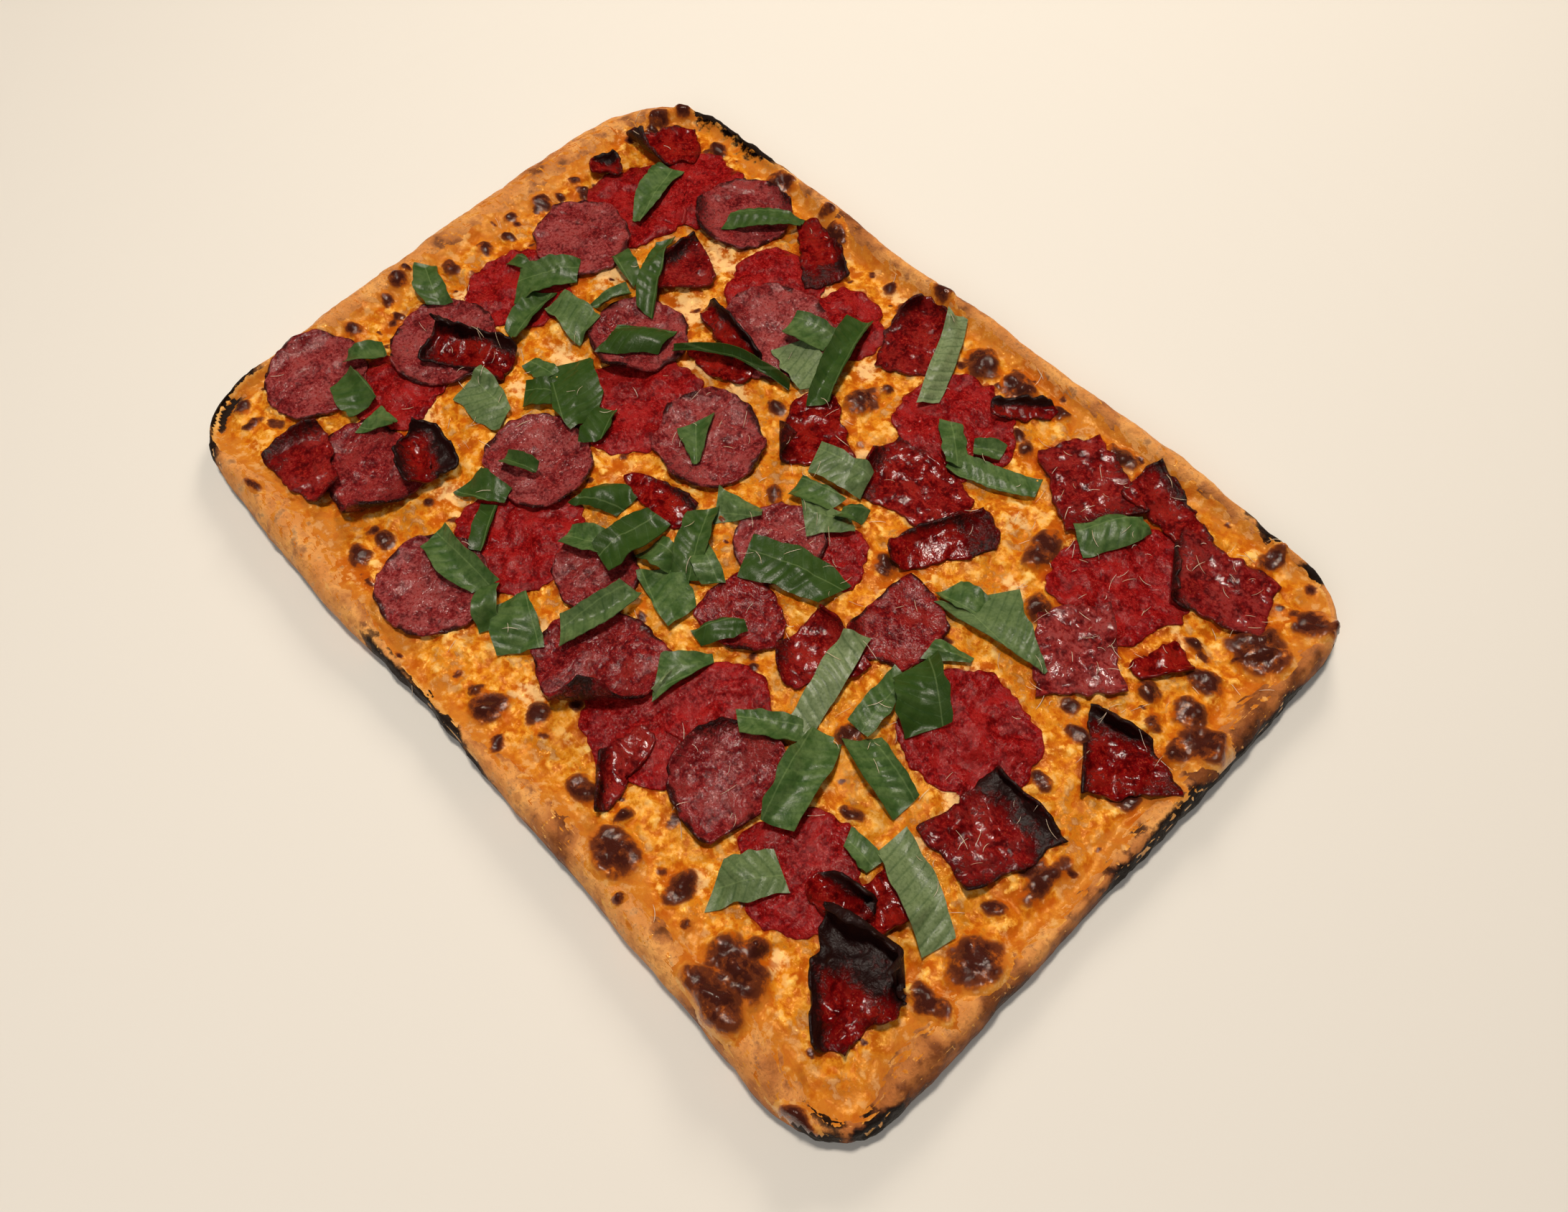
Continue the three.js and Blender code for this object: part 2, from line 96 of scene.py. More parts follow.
# Torn basil: [x, y, length, width, turn, taper, point, bend, arch, cup, shade].
# Taper narrows one end and point both ends; bend curves the piece sideways, arch lifts its middle and cup its
# edges. Shade is painted light: below zero it darkens a piece as painted shadow, such as a neighbour's shadow, and
# above zero it lightens it as a painted sheen where it faces the lamp.
LEAVES = [
    (-55, 46, 58, 3.6, 24, 0, 0.2, -9, 2, 1, -0.9), (43, -76, 16, 3, -80, 0, 0, 0, 1, 0, 1.0),
    (-163, 88, 38, 16, -65, -0.2, 0.7, 2, 3, -1, 0.1), (-109, 115, 38, 13, 43, 0.1, 0.7, -3, 4, 2, -0.3),
    (-122, 55, 48, 11, -52, 0.1, 0.3, 4, 5, 3, -0.4), (-133, 49, 22, 9, -15, 0, 0.4, 0, 3, 1, -0.3),
    (-125, 32, 18, 10, 80, 0.2, 0.3, 0, 1, 1, 0.1), (-157, 18, 30, 22, 60, -0.2, 0.2, 2, 3, 1, -0.2),
    (-174, 14, 11, 7, 20, 0, 0.5, 0, 2, 1, -0.3), (-147, -3, 30, 13, -70, 0.1, 0.4, 2, 2, 1, -0.2),
    (-131, 12, 27, 20, 0, 0.2, 0.2, 0, 2, 1, 0.2), (-97, 24, 29, 16, 40, 0, 0.15, 0, 4, -3, -0.6),
    (-192, -26, 25, 17, -20, 0.3, 0.3, 4, 4, 2, -0.2), (-180, -72, 18, 15, 60, 0.4, 0.3, 3, 3, 2, -0.1),
    (-166, -89, 23, 18, -3, 0.1, 0.2, 2, 2, 1, -0.3), (-143, -88, 15, 17, 30, -0.6, 0.1, 0, 1, 1, 0.1),
    (-119, -47, 28, 19, 0, 0, 0.5, 0, 1, -1, 0.3), (-117, -18, 15, 12, 10, 0.2, 0.3, 0, 2, 1, -0.2),
    (-94, -14, 36, 25, -25, 0.1, 0.5, 0, 4, 2, -0.5), (-105, -26, 17, 15, 40, 0, 0.3, 0, 2, 2, -0.6),
    (-72, -19, 20, 13, -60, 0.2, 0.4, 0, 2, 2, -0.5), (-79, -57, 18, 8, 20, 0, 0.5, 0, 3, 1, -0.3),
    (-80, -75, 22, 15, 20, -0.2, 0.3, 2, 3, 2, -0.4), (-66, -88, 24, 8, -50, 0, 0.4, 0, 2, 1, -0.6),
    (-59, -106, 36, 15, 2, 0, 0.2, 5, 3, 1, 0), (11, 116, 50, 12, -62, 0.1, 0.25, -3, 2, 1, 0.8),
    (-22, 81, 52, 11, -66, 0, 0.2, 2, 5, 1, -0.4), (-43, 83, 21, 17, 20, 0.1, 0.3, 0, 2, 2, 0.1),
    (-32, 69, 28, 19, -15, 0, 0.15, 0, 1, 0, 0.4), (45, 86, 24, 12, -40, 0.1, 0.3, 0, 3, 1, -0.1),
    (68, 86, 40, 13, 25, 0.1, 0.3, 4, 3, 1, 0.1), (58, 94, 13, 9, 30, 0, 0.4, 0, 1, 1, 0),
    (21, 41, 27, 15, 12, 0, 0.15, 0, 1, 0, 0.3), (22, 25, 21, 12, 15, 0, 0.3, 0, 2, 1, 0),
    (35, 20, 21, 18, 40, -0.3, 0.2, 0, 1, 1, 0.3), (40, 29, 12, 8, 30, 0, 0.3, 0, 3, 1, -0.1),
    (-35, 6, 22, 17, -40, -0.7, 0.1, 0, 1, 1, -0.1), (4, -3, 21, 17, 30, -0.6, 0.1, 0, 1, 0, 0.2),
    (42, -8, 42, 20, 20, 0, 0.25, -7, 2, 1, -0.5), (-41, -41, 22, 17, 30, 0.2, 0.4, -5, 4, -2, -0.5),
    (-16, -46, 32, 17, 90, 0, 0.3, 0, 3, 2, -0.5), (3, -28, 34, 15, -55, 0.1, 0.2, 0, 4, 1, -0.3),
    (14, -31, 20, 13, -20, 0.2, 0.3, 0, 5, 1, 0.1), (-2, -41, 15, 14, 10, 0, 0.3, 0, 5, 1, -0.2),
    (14, -50, 26, 20, -20, -0.1, 0.2, 0, 2, 1, 0.1), (-30, -60, 18, 14, 30, 0.1, 0.3, 0, 2, 1, 0.1),
    (1, -78, 34, 14, 80, -0.1, 0.3, 5, 3, 1, 0.2), (42, -47, 21, 10, 60, 0.1, 0.6, 0, 4, -2, -0.5),
    (44, -68, 24, 17, 70, -0.5, 0.3, 0, 3, 2, 0.1), (-34, -109, 19, 12, -40, 0.2, 0.4, 3, 4, 1, -0.2),
    (-20, -106, 25, 21, -25, 0.1, 0.15, 0, 3, 2, -0.1), (122, 100, 30, 15, 60, 0, 0.6, 0, 4, -2, 0),
    (123, 36, 43, 32, -7, -0.9, 0.1, 0, 4, 1, 0.25), (100, 36, 18, 12, 10, 0, 0.15, 0, 3, 1, 0.1),
    (113, 12, 18, 10, 30, -0.4, 0.3, 0, 2, 1, 0), (118, -10, 27, 23, -35, 0.1, 0.2, 0, 5, 2, -0.5),
    (108, -22, 30, 13, -80, 0.2, 0.3, -2, 3, 1, 0), (129, -42, 32, 16, -12, 0.1, 0.2, 2, 4, 2, 0),
    (88, -31, 45, 14, 105, 0.1, 0.2, 0, 3, 0, 0.5), (86, -60, 26, 13, 40, 0.1, 0.3, 0, 2, 1, 0.1),
    (110, -66, 42, 17, -70, 0, -0.25, 0, 5, 1, 0), (169, -65, 42, 17, -22, 0.1, 0.25, -3, 3, 1, 0.4),
    (145, -69, 15, 11, 0, 0.2, 0.3, 0, 2, 1, 0.1), (123, -105.5, 25, 18, 57, 0, 0.1, 0, 3, 1, 0.3),
]

# Places where grated cheese fell thickly: [x, y, spread, number of shreds].
DUSTINGS = [
    (-209, 111, 14, 12), (-217, 18, 10, 8), (96, 112, 22, 22), (146, 52, 22, 34), (168, 111, 20, 20),
    (-119, -47, 18, 12), (140, 84, 26, 18), (172, -28, 20, 14), (38, 5, 20, 14), (12, 44, 20, 10), (0, 0, 150, 90),
    (-146, -36, 20, 10), (-40, 15, 20, 8), (110, -30, 40, 16), (88, -85, 14, 8),
]

# The meat. Each piece lies where its plain solid does. A squareness of 1 is round and 0 is square, taper narrows one
# end, cup lifts the whole rim, and each curl rolls up what lies beyond a line: [direction in degrees, distance from
# the middle, radius]. Burnt and pale run from 0 to 1: the burnt side is a direction, and pale meat has a bloom of fat.
# [square, taper, cup, curls, burnt, burnt side, pale]
FLAT_SLICE = (1, 0, 0, [], 0.05, None, 0.05)
CRISP_SLICES = {
    "01": (1, 0, 1.5, [(120, 20, 8)], 0.15, 120, 0.45), "02": (1, 0, 2, [(227, 17, 6), (70, 17, 6)], 0.5, 227, 0.35),
    "03": (0.9, 0, 1, [(250, 22, 6)], 0.25, 250, 0.5),
    "04": (0.9, 0, 1.5, [(300, 15, 6), (227, 18, 8)], 0.35, 300, 0.4),
    "05": (1, 0, 3.5, [], 0.4, 250, 0.4), "06": (1, 0, 2.5, [(250, 19, 8)], 0.35, 250, 0.5),
    "07": (1, 0, 1.5, [(180, 21, 8)], 0.15, 180, 0.45),
    "08": (0.5, 0.2, 2, [(330, 17, 7), (60, 22, 6)], 0.4, 330, 0.15),
    "09": (0.9, 0, 2, [(0, 19, 7), (316, 20, 7)], 0.3, 316, 0.5), "10": (1, 0, 2.5, [(136, 20, 8)], 0.3, 136, 0.5),
    "11": (1, 0, 1, [], 0.3, 316, 0.2), "12": (0.5, 0.2, 1, [(316, 12, 6)], 0.5, 316, 0.05),
    "13": (1, 0, 1, [], 0.25, 316, 0.4), "14": (0.7, -0.3, 1, [(316, 12, 6)], 0.35, 316, 0),
    "15": (0.6, -0.2, 1, [(227, 15, 6)], 0.3, 227, 0),
    "16": (0.8, 0.2, 4.5, [(136, 18, 5), (190, 18, 5), (270, 19, 7)], 0.5, 160, 0.15),
}
# [length, width, turn, and the same]
COPPA_PIECES = {
    "01": (38, 24, 47, 0.4, 0.2, 0, [(271, 4, 5), (136, 9, 7)], 0.7, 271, 0),
    "02": (15, 13, 60, 0.6, 0.3, 2, [(150, 2, 3)], 1.0, 150, 0),
    "03": (29, 27, 10, 0.3, -0.6, 3, [(181, 9, 4), (316, 10, 4)], 0.6, 181, 0.1),
    "04": (44, 20, -28, 0.5, 0.4, 0, [(60, 5, 5)], 0.7, 316, 0),
    "05": (36, 13, 15, 0.6, 0.3, 0, [(105, 2, 3)], 0.7, 105, 0),
    "06": (40, 14, -8, 0.4, 0.2, 0, [(82, 0, 3)], 0.95, 82, 0),
    "07": (42, 26, 28, 0.3, -0.2, 0, [(118, 3, 4), (208, 15, 4), (298, 9, 4)], 0.95, 118, 0),
    "08": (44, 24, -8, 0.7, -0.3, 0, [(160, 12, 7), (20, 13, 6)], 0.5, 200, 0.1),
    "09": (34, 27, -15, 0.9, 0.3, 3, [(75, 6, 6), (255, 6, 6), (165, 9, 6)], 1.1, 75, 0),
    "10": (38, 15, 8, 0.7, 0.3, 0, [(98, 4, 4)], 0.6, 98, 0),
    "11": (38, 15, -82, 0.6, 0.3, 0, [(227, 2, 5)], 0.55, 227, 0.1),
    "12": (34, 27, 80, 0.4, 0.3, 1, [(227, 9, 5), (100, 12, 5)], 0.5, 227, 0.05),
    "13": (40, 28, -60, 0.4, 0.15, 0, [(165, 9, 6), (75, 9, 8)], 0.45, 190, 0.05),
    "14": (37, 31, -55, 0.1, 0.65, 1, [(227, 9, 5)], 0.55, 227, 0),
    "15": (30, 10, 45, 0.6, 0, 0, [(136, 0, 3)], 1.0, 136, 0),
    "16": (50, 31, 5, 0.5, -0.2, 0, [(200, 16, 6), (100, 12, 7)], 0.45, 200, 0.05),
    "17": (48, 19, 62, 0.5, 0.2, 0, [(152, 4, 4), (62, 18, 5), (242, 18, 5)], 0.6, 62, 0),
    "18": (43, 33, -28, 0.05, 0.1, 0, [(330, 17, 7), (62, 13, 9)], 0.45, 330, 0.1),
    "19": (44, 19, -10, 0.3, -0.35, 0, [(80, 5, 5), (175, 18, 6)], 0.75, 80, 0.05),
    "20": (46, 32, 15, 0.05, -0.15, 0, [(215, 14, 5), (285, 13, 5)], 0.6, 260, 0.2),
    "21": (37, 32, -42, 0.1, 0.1, 0, [(316, 15, 8)], 0.2, 316, 0.4),
    "22": (24, 13, 65, 0.5, 0.3, 0, [(330, 2, 4)], 0.15, 330, 0),
    "23": (38, 27, -42, 0.3, 0.5, 0, [(100, 6, 4), (220, 9, 4)], 0.9, 110, 0),
    "24": (44, 34, 78, 0.05, 0.1, 0, [(90, 13, 5), (330, 13, 6)], 0.85, 80, 0.1),
    "25": (26, 19, 80, 0.5, 0.3, 0, [(350, 4, 6)], 0.1, 350, 0),
    "26": (24, 17, 25, 0.5, 0.2, 1, [(100, 2, 4)], 1.0, 100, 0),
    "27": (50, 34, -75, 0.25, -0.45, 0, [(105, 11, 5), (50, 11, 4), (230, 12, 5)], 1.3, 105, 0),
}

# ---------------------------------------------------------------- shaping

SAME = 0.01  # points closer than this are one
FLATTISH, SKEWED = 70, 175  # how far two triangles that become one face may bend and skew, in degrees
MOST_ROLLED = 2.3  # how far round a curl goes, in radians
FOOT = 1.5  # what lies lower than this in a sheet of meat or basil rests on what is below
RESTING = 85  # how much of a sheet's foot lies above what is below it, in percent
GAP = 0.15  # between the meat and what is below it


def noise(x, y, size, seed=0):
    """Smooth noise from -1 to 1 whose lumps are about size millimetres across."""
    u, v = np.asarray(x) / size + seed * 17.3, np.asarray(y) / size - seed * 9.1
    i, j = np.floor(u), np.floor(v)
    su, sv = (3 - 2 * (u - i)) * (u - i) ** 2, (3 - 2 * (v - j)) * (v - j) ** 2

    def corner(di, dj):
        h = np.sin((i + di) * 127.1 + (j + dj) * 311.7) * 43758.5453
        return 2 * (h - np.floor(h)) - 1

    near = corner(0, 0) * (1 - su) + corner(1, 0) * su
    far = corner(0, 1) * (1 - su) + corner(1, 1) * su
    return near * (1 - sv) + far * sv


def lumps(x, y, size, seed=0, octaves=3):
    """Noise with finer noise on it."""
    return sum(noise(x, y, size / 2**k, seed + k) / 1.8**k for k in range(octaves))


def ramp(value, low, high):
    """Smoothly 0 at low and 1 at high."""
    t = np.clip((value - low) / (high - low), 0, 1)
    return t * t * (3 - 2 * t)


def swells(x, y):
    """The height that everything on the pizza shares, so that what lies together stays together."""
    return 0.7 * noise(x, y, 31, 3) + 0.45 * noise(x, y, 13, 4)


def bare(x, y):
    """How far short of its plain solid's edge the cheese stops, which is further where the rim is bare dough."""
    right = ramp(x, 150, 190) * ramp(y, 85, 55) * (12 + 6 * ramp(y, -40, -80) - 9 * ramp(y, -100, -125))
    return 1 + right + 6 * ramp(x, 110, 150) * ramp(y, -110, -130)


def spots(x, y, places, edge=0.3, seed=0):
    """How deep inside the nearest of the given spots each point is: 1 in the middle, 0 at the edge and beyond."""
    wobble_x = x + 1.2 * noise(x, y, 4.5, seed + 11) + 1.8 * noise(x, y, 9, seed + 12)
    wobble_y = y + 1.2 * noise(x, y, 4.5, seed + 13) + 1.8 * noise(x, y, 9, seed + 14)
    depth = np.zeros_like(x)
    for px, py, width, height in places:
        near = (np.abs(x - px) < width + 6) & (np.abs(y - py) < height + 6)
        out = np.hypot((wobble_x[near] - px) / (width / 2), (wobble_y[near] - py) / (height / 2))
        depth[near] = np.maximum(depth[near], np.clip(1 + edge - out, 0, 1 + edge) / (1 + edge))
    return depth


def points_of(mesh):
    """A mesh's vertices in millimetres, one row each."""
    flat = np.empty(len(mesh.vertices) * 3, np.float32)
    mesh.vertices.foreach_get("co", flat)
    return flat.reshape(-1, 3).astype(float) / MM


def place_points(mesh, points):
    """Moves a mesh's vertices to the given places."""
    mesh.vertices.foreach_set("co", (points * MM).astype(np.float32).ravel())
    mesh.update()


def normals_of(mesh):
    """The way out at each vertex, one row each."""
    flat = np.empty(len(mesh.vertices) * 3, np.float32)
    mesh.vertex_normals.foreach_get("vector", flat)
    return flat.reshape(-1, 3).astype(float)


def write_values(mesh, name, values):
    """Keeps one number for each vertex, for a material to read."""
    layer = mesh.attributes.get(name) or mesh.attributes.new(name, "FLOAT", "POINT")
    layer.data.foreach_set("value", np.broadcast_to(values, len(mesh.vertices)).astype(np.float32))


def mesh_of(bm, name):
    """A new mesh from a bmesh, which is freed."""
    mesh = bpy.data.meshes.new(name)
    bm.to_mesh(mesh)
    bm.free()
    return mesh


def placed(name, data):
    """A new object in the scene."""
    made = bpy.data.objects.new(name, data)
    bpy.context.scene.collection.objects.link(made)
    return made


def applied(holder):
    """The mesh that an object's modifiers make. The object and its own mesh are removed."""
    own = holder.data
    mesh = bpy.data.meshes.new_from_object(holder.evaluated_get(bpy.context.evaluated_depsgraph_get()))
    bpy.data.objects.remove(holder)
    bpy.data.meshes.remove(own)
    return mesh


def sheer(edge):
    """Whether an edge of a plain solid goes straight up, as only the ones round a thin sheet's rim do."""
    a, b = edge.verts[0].co, edge.verts[1].co
    return (a.xy - b.xy).length < 0.02 * MM


def refined(node, levels):
    """A smooth, finer copy of a plain solid's mesh."""
    bm = bmesh.new()
    bm.from_mesh(node.data)
    bmesh.ops.remove_doubles(bm, verts=bm.verts, dist=SAME * MM)
    flattish, skewed = math.radians(FLATTISH), math.radians(SKEWED)
    bmesh.ops.join_triangles(bm, faces=bm.faces, angle_face_threshold=flattish, angle_shape_threshold=skewed)
    holder = placed(node.name + "_holder", mesh_of(bm, node.name + "_coarse"))
    smooth = holder.modifiers.new("smooth", "SUBSURF")
    smooth.levels = smooth.render_levels = levels
    return applied(holder)


def rolled(points, direction, start, radius):
    """Rolls up what lies beyond a line, and returns the new points and how far round each has gone, in radians."""
    way = np.array([math.cos(math.radians(direction)), math.sin(math.radians(direction))])
    past = np.maximum(points[:, :2] @ way - start, 0)
    angle = np.minimum(past / radius, MOST_ROLLED)
    beyond = past - angle * radius
    along = radius * np.sin(angle) + beyond * np.cos(angle)
    points = points.copy()
    points[:, :2] += np.outer(along - past, way)
    points[:, 2] += radius * (1 - np.cos(angle)) + beyond * np.sin(angle)
    return points, angle


def grid_sheet(bm, length, width, cell):
    """Adds a flat grid to a bmesh; returns its vertices and how far along and across each is, from -1 to 1."""
    segments = [max(4, round(side / cell)) for side in (length, width)]
    made = bmesh.ops.create_grid(bm, x_segments=segments[0], y_segments=segments[1], size=1)["verts"]
    return made, np.array([v.co.x for v in made]), np.array([v.co.y for v in made])


def settled(points, floor, stiffness, clearance):
    """Puts a sheet down on the given heights below it. A stiff one keeps its own shape and a limp one lies flat."""
    x, y, z = points.T
    middle = np.column_stack([x - x.mean(), y - y.mean(), np.ones_like(x)])
    tilt = np.linalg.lstsq(middle, floor, rcond=None)[0]
    plane = middle @ tilt
    low = z < FOOT
    z = z + plane + (1 - stiffness) * (floor - plane)
    gap = (floor - z)[low] if low.any() else floor - z
    z = np.maximum(z + np.percentile(gap, RESTING), floor) + clearance
    return np.column_stack([x, y, z])


def thickened(mesh, thickness):
    """A sheet's mesh with a second side below it and a wall round its edge."""
    holder = placed(mesh.name + "_holder", mesh)
    solid = holder.modifiers.new("solid", "SOLIDIFY")
    solid.thickness, solid.offset, solid.use_even_offset = thickness * MM, -1, False
    return applied(holder)


def make_piece(name, mesh, material):
    """Turns a finished mesh into a piece of the pizza."""
    mesh.name = name
    mesh.materials.clear()
    mesh.materials.append(material)
    mesh.shade_smooth()
    piece = placed(name, mesh)
    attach(piece, "root")
    return piece


def tree_of(meshes):
    """The given meshes as one thing to measure heights on, in millimetres."""
    corners, faces, start = [], [], 0
    for mesh in meshes:
        points = points_of(mesh)
        corners.extend(map(tuple, points))
        faces.extend([start + v for v in face.vertices] for face in mesh.polygons)
        start += len(points)
    return BVHTree.FromPolygons(corners, faces)


def heights(tree, x, y, upwards=False, otherwise=np.nan):
    """The height of the topmost surface at each point, or of the lowest one when looking upwards."""
    start, way = (-50, Vector((0, 0, 1))) if upwards else (90, Vector((0, 0, -1)))
    found = np.full(len(x), otherwise, float)
    for i in range(len(x)):
        hit = tree.ray_cast(Vector((x[i], y[i], start)), way)[0]
        if hit is not None:
            found[i] = hit.z
    return found


class Map:
    """A grid of heights over the pizza, with one value each millimetre."""

    HALF_X, HALF_Y = 236, 172

    def __init__(self, values=None):
        xs, ys = np.arange(-self.HALF_X, self.HALF_X + 1.0), np.arange(-self.HALF_Y, self.HALF_Y + 1.0)
        self.x, self.y = np.meshgrid(xs, ys)
        self.values = values

    def at(self, x, y):
        """The value at each point, blended between the grid's points."""
        rows, columns = self.x.shape
        u = np.clip(np.asarray(x) + self.HALF_X, 0, columns - 1.001)
        v = np.clip(np.asarray(y) + self.HALF_Y, 0, rows - 1.001)
        i, j = u.astype(int), v.astype(int)
        fu, fv = u - i, v - j
        near = self.values[j, i] * (1 - fu) + self.values[j, i + 1] * fu
        far = self.values[j + 1, i] * (1 - fu) + self.values[j + 1, i + 1] * fu
        return near * (1 - fv) + far * fv


def softened(values, passes):
    """A grid's values, blurred a little further on each pass."""
    for _ in range(passes):
        for axis in (0, 1):
            values = (np.roll(values, 1, axis) + 2 * values + np.roll(values, -1, axis)) / 4
    return values


def widened(values, passes):
    """A grid's values, each one raised to its highest neighbour's on each pass."""
    for _ in range(passes):
        for axis in (0, 1):
            values = np.maximum(values, np.maximum(np.roll(values, 1, axis), np.roll(values, -1, axis)))
    return values


def loop_distance(x, y, loop):
    """How far each point is inside a closed loop of points, and below zero outside it."""
    nearest = np.full(len(x), 1e9)
    inside = np.zeros(len(x), bool)
    for (ax, ay), (bx, by) in zip(loop, np.roll(loop, -1, 0)):
        dx, dy = bx - ax, by - ay
        t = np.clip(((x - ax) * dx + (y - ay) * dy) / (dx * dx + dy * dy), 0, 1)
        nearest = np.minimum(nearest, np.hypot(x - ax - t * dx, y - ay - t * dy))
        if dy:
            crosses = ((ay > y) != (by > y)) & (x < ax + (y - ay) * dx / dy)
            inside ^= crosses
    return np.where(inside, nearest, -nearest)


# ---------------------------------------------------------------- finishes

TIMES, PLUS = ("Math", {"operation": "MULTIPLY"}), ("Math", {"operation": "ADD"})
SINE, SIZE_OF = ("Math", {"operation": "SINE"}), ("Math", {"operation": "ABSOLUTE"})
FADE = ("MapRange", {"interpolation_type": "SMOOTHSTEP"})  # from a range to a range
OVER = ("Mix", {"data_type": "RGBA"})  # how much, under, over
NOISE = ("TexNoise", {})  # where, scale, detail, roughness
BUMP = ("Bump", {})  # strength, distance, filter width, height
# The numbers kept at each vertex: write_values stores them, and the sheets of meat and basil bring their own.
KEPT_NAMES = "bake stain char brown bubble pale juice shore burn edge rib side shade".split()
KEPT = {name: ("Attribute", {"attribute_name": name}) for name in KEPT_NAMES}
RIB = 4.8  # how far apart a basil leaf's side veins are, in mm


def colour(code):
    """An sRGB hex colour as the linear values that materials use."""
    parts = [int(code[i : i + 2], 16) / 255 for i in (1, 3, 5)]
    return [p / 12.92 if p <= 0.04045 else ((p + 0.055) / 1.055) ** 2.4 for p in parts] + [1]


def socket_of(value):
    """The output socket in use, of a node or of a socket itself."""
    return next(s for s in value.outputs if s.enabled) if isinstance(value, bpy.types.Node) else value


def add(tree, kind, inputs):
    """Adds a node. A kind is its type and settings; its sockets take in order a number, a hex colour or a node."""
    node = tree.nodes.new("ShaderNode" + kind[0])
    for name, value in kind[1].items():
        setattr(node, name, value)
    for socket, value in zip([s for s in node.inputs if s.enabled], inputs):
        if isinstance(value, (bpy.types.Node, bpy.types.NodeSocket)):
            tree.links.new(socket_of(value), socket)
        else:
            socket.default_value = colour(value) if isinstance(value, str) else value
    return node


def finish_tree(name):
    """A new material, its node tree, its surface shader and the place on the piece, in metres."""
    material = bpy.data.materials.new(name)
    material.use_nodes = True
    tree = material.node_tree
    return material, tree, tree.nodes["Principled BSDF"], add(tree, ("TexCoord", {}), []).outputs["Object"]


def per_mm(size):
    """The scale that makes a pattern's features this many millimetres across."""
    return 1 / (size * MM)


def linked(tree, shader, **values):
    """Links nodes to the surface shader's sockets; an underscore stands for a space."""
    for name, value in values.items():
        tree.links.new(socket_of(value), shader.inputs[name.replace("_", " ")])


def dough_finish():
    """Baked dough: a dry, floury skin, pale gold in the hollows, brown on the bubbles and black where it burnt."""
    material, tree, shader, where = finish_tree("baked_dough")
    broad = add(tree, NOISE, [where, per_mm(24), 3, 0.5])
    medium = add(tree, NOISE, [where, per_mm(6), 5, 0.6])
    fine = add(tree, NOISE, [where, per_mm(1.3), 4, 0.6])
    bake, stained, char = (add(tree, KEPT[name], []).outputs["Fac"] for name in ("bake", "stain", "char"))
    stain = add(tree, TIMES, [stained, add(tree, FADE, [medium, 0.42, 0.62, 0, 0.5])])
    brown = add(tree, PLUS, [bake, add(tree, FADE, [broad, 0.35, 0.65, -0.2, 0.2])])
    brown = add(tree, PLUS, [brown, add(tree, FADE, [medium, 0.3, 0.7, -0.16, 0.16])])
    burnt = add(tree, PLUS, [char, add(tree, FADE, [medium, 0.3, 0.7, -0.3, 0.3])])
    base = add(tree, OVER, [add(tree, FADE, [broad, 0.38, 0.62, 0, 1]), "#d68c48", "#eaa75c"])
    for share, tint in [
        (add(tree, FADE, [medium, 0.52, 0.7, 0, 0.5]), "#efbd85"),
        (add(tree, FADE, [medium, 0.48, 0.34, 0, 0.5]), "#b5703c"),
        (stain, "#c8741f"),
        (add(tree, FADE, [brown, 0.25, 0.6, 0, 0.75]), "#a9602e"),
        (add(tree, FADE, [brown, 0.55, 0.95, 0, 0.9]), "#733a17"),
        (add(tree, FADE, [brown, 0.95, 1.3, 0, 0.9]), "#35180c"),
        (add(tree, FADE, [fine, 0.54, 0.68, 0, 0.5]), "#965a30"),
        (add(tree, FADE, [burnt, 0.15, 0.45, 0, 0.8]), "#3d1c0e"),
        (add(tree, FADE, [burnt, 0.35, 0.7, 0, 0.95]), "#0d0706"),
    ]:
        base = add(tree, OVER, [share, base, tint])
    relief = add(tree, PLUS, [add(tree, TIMES, [fine, 0.6]), medium])
    linked(tree, shader, Base_Color=base, Roughness=add(tree, FADE, [medium, 0.3, 0.7, 0.75, 0.5]))
    linked(tree, shader, Normal=add(tree, BUMP, [1.0, 1.0 * MM, 0.1, relief]))
    shader.inputs["Specular IOR Level"].default_value = 0.25
    return material


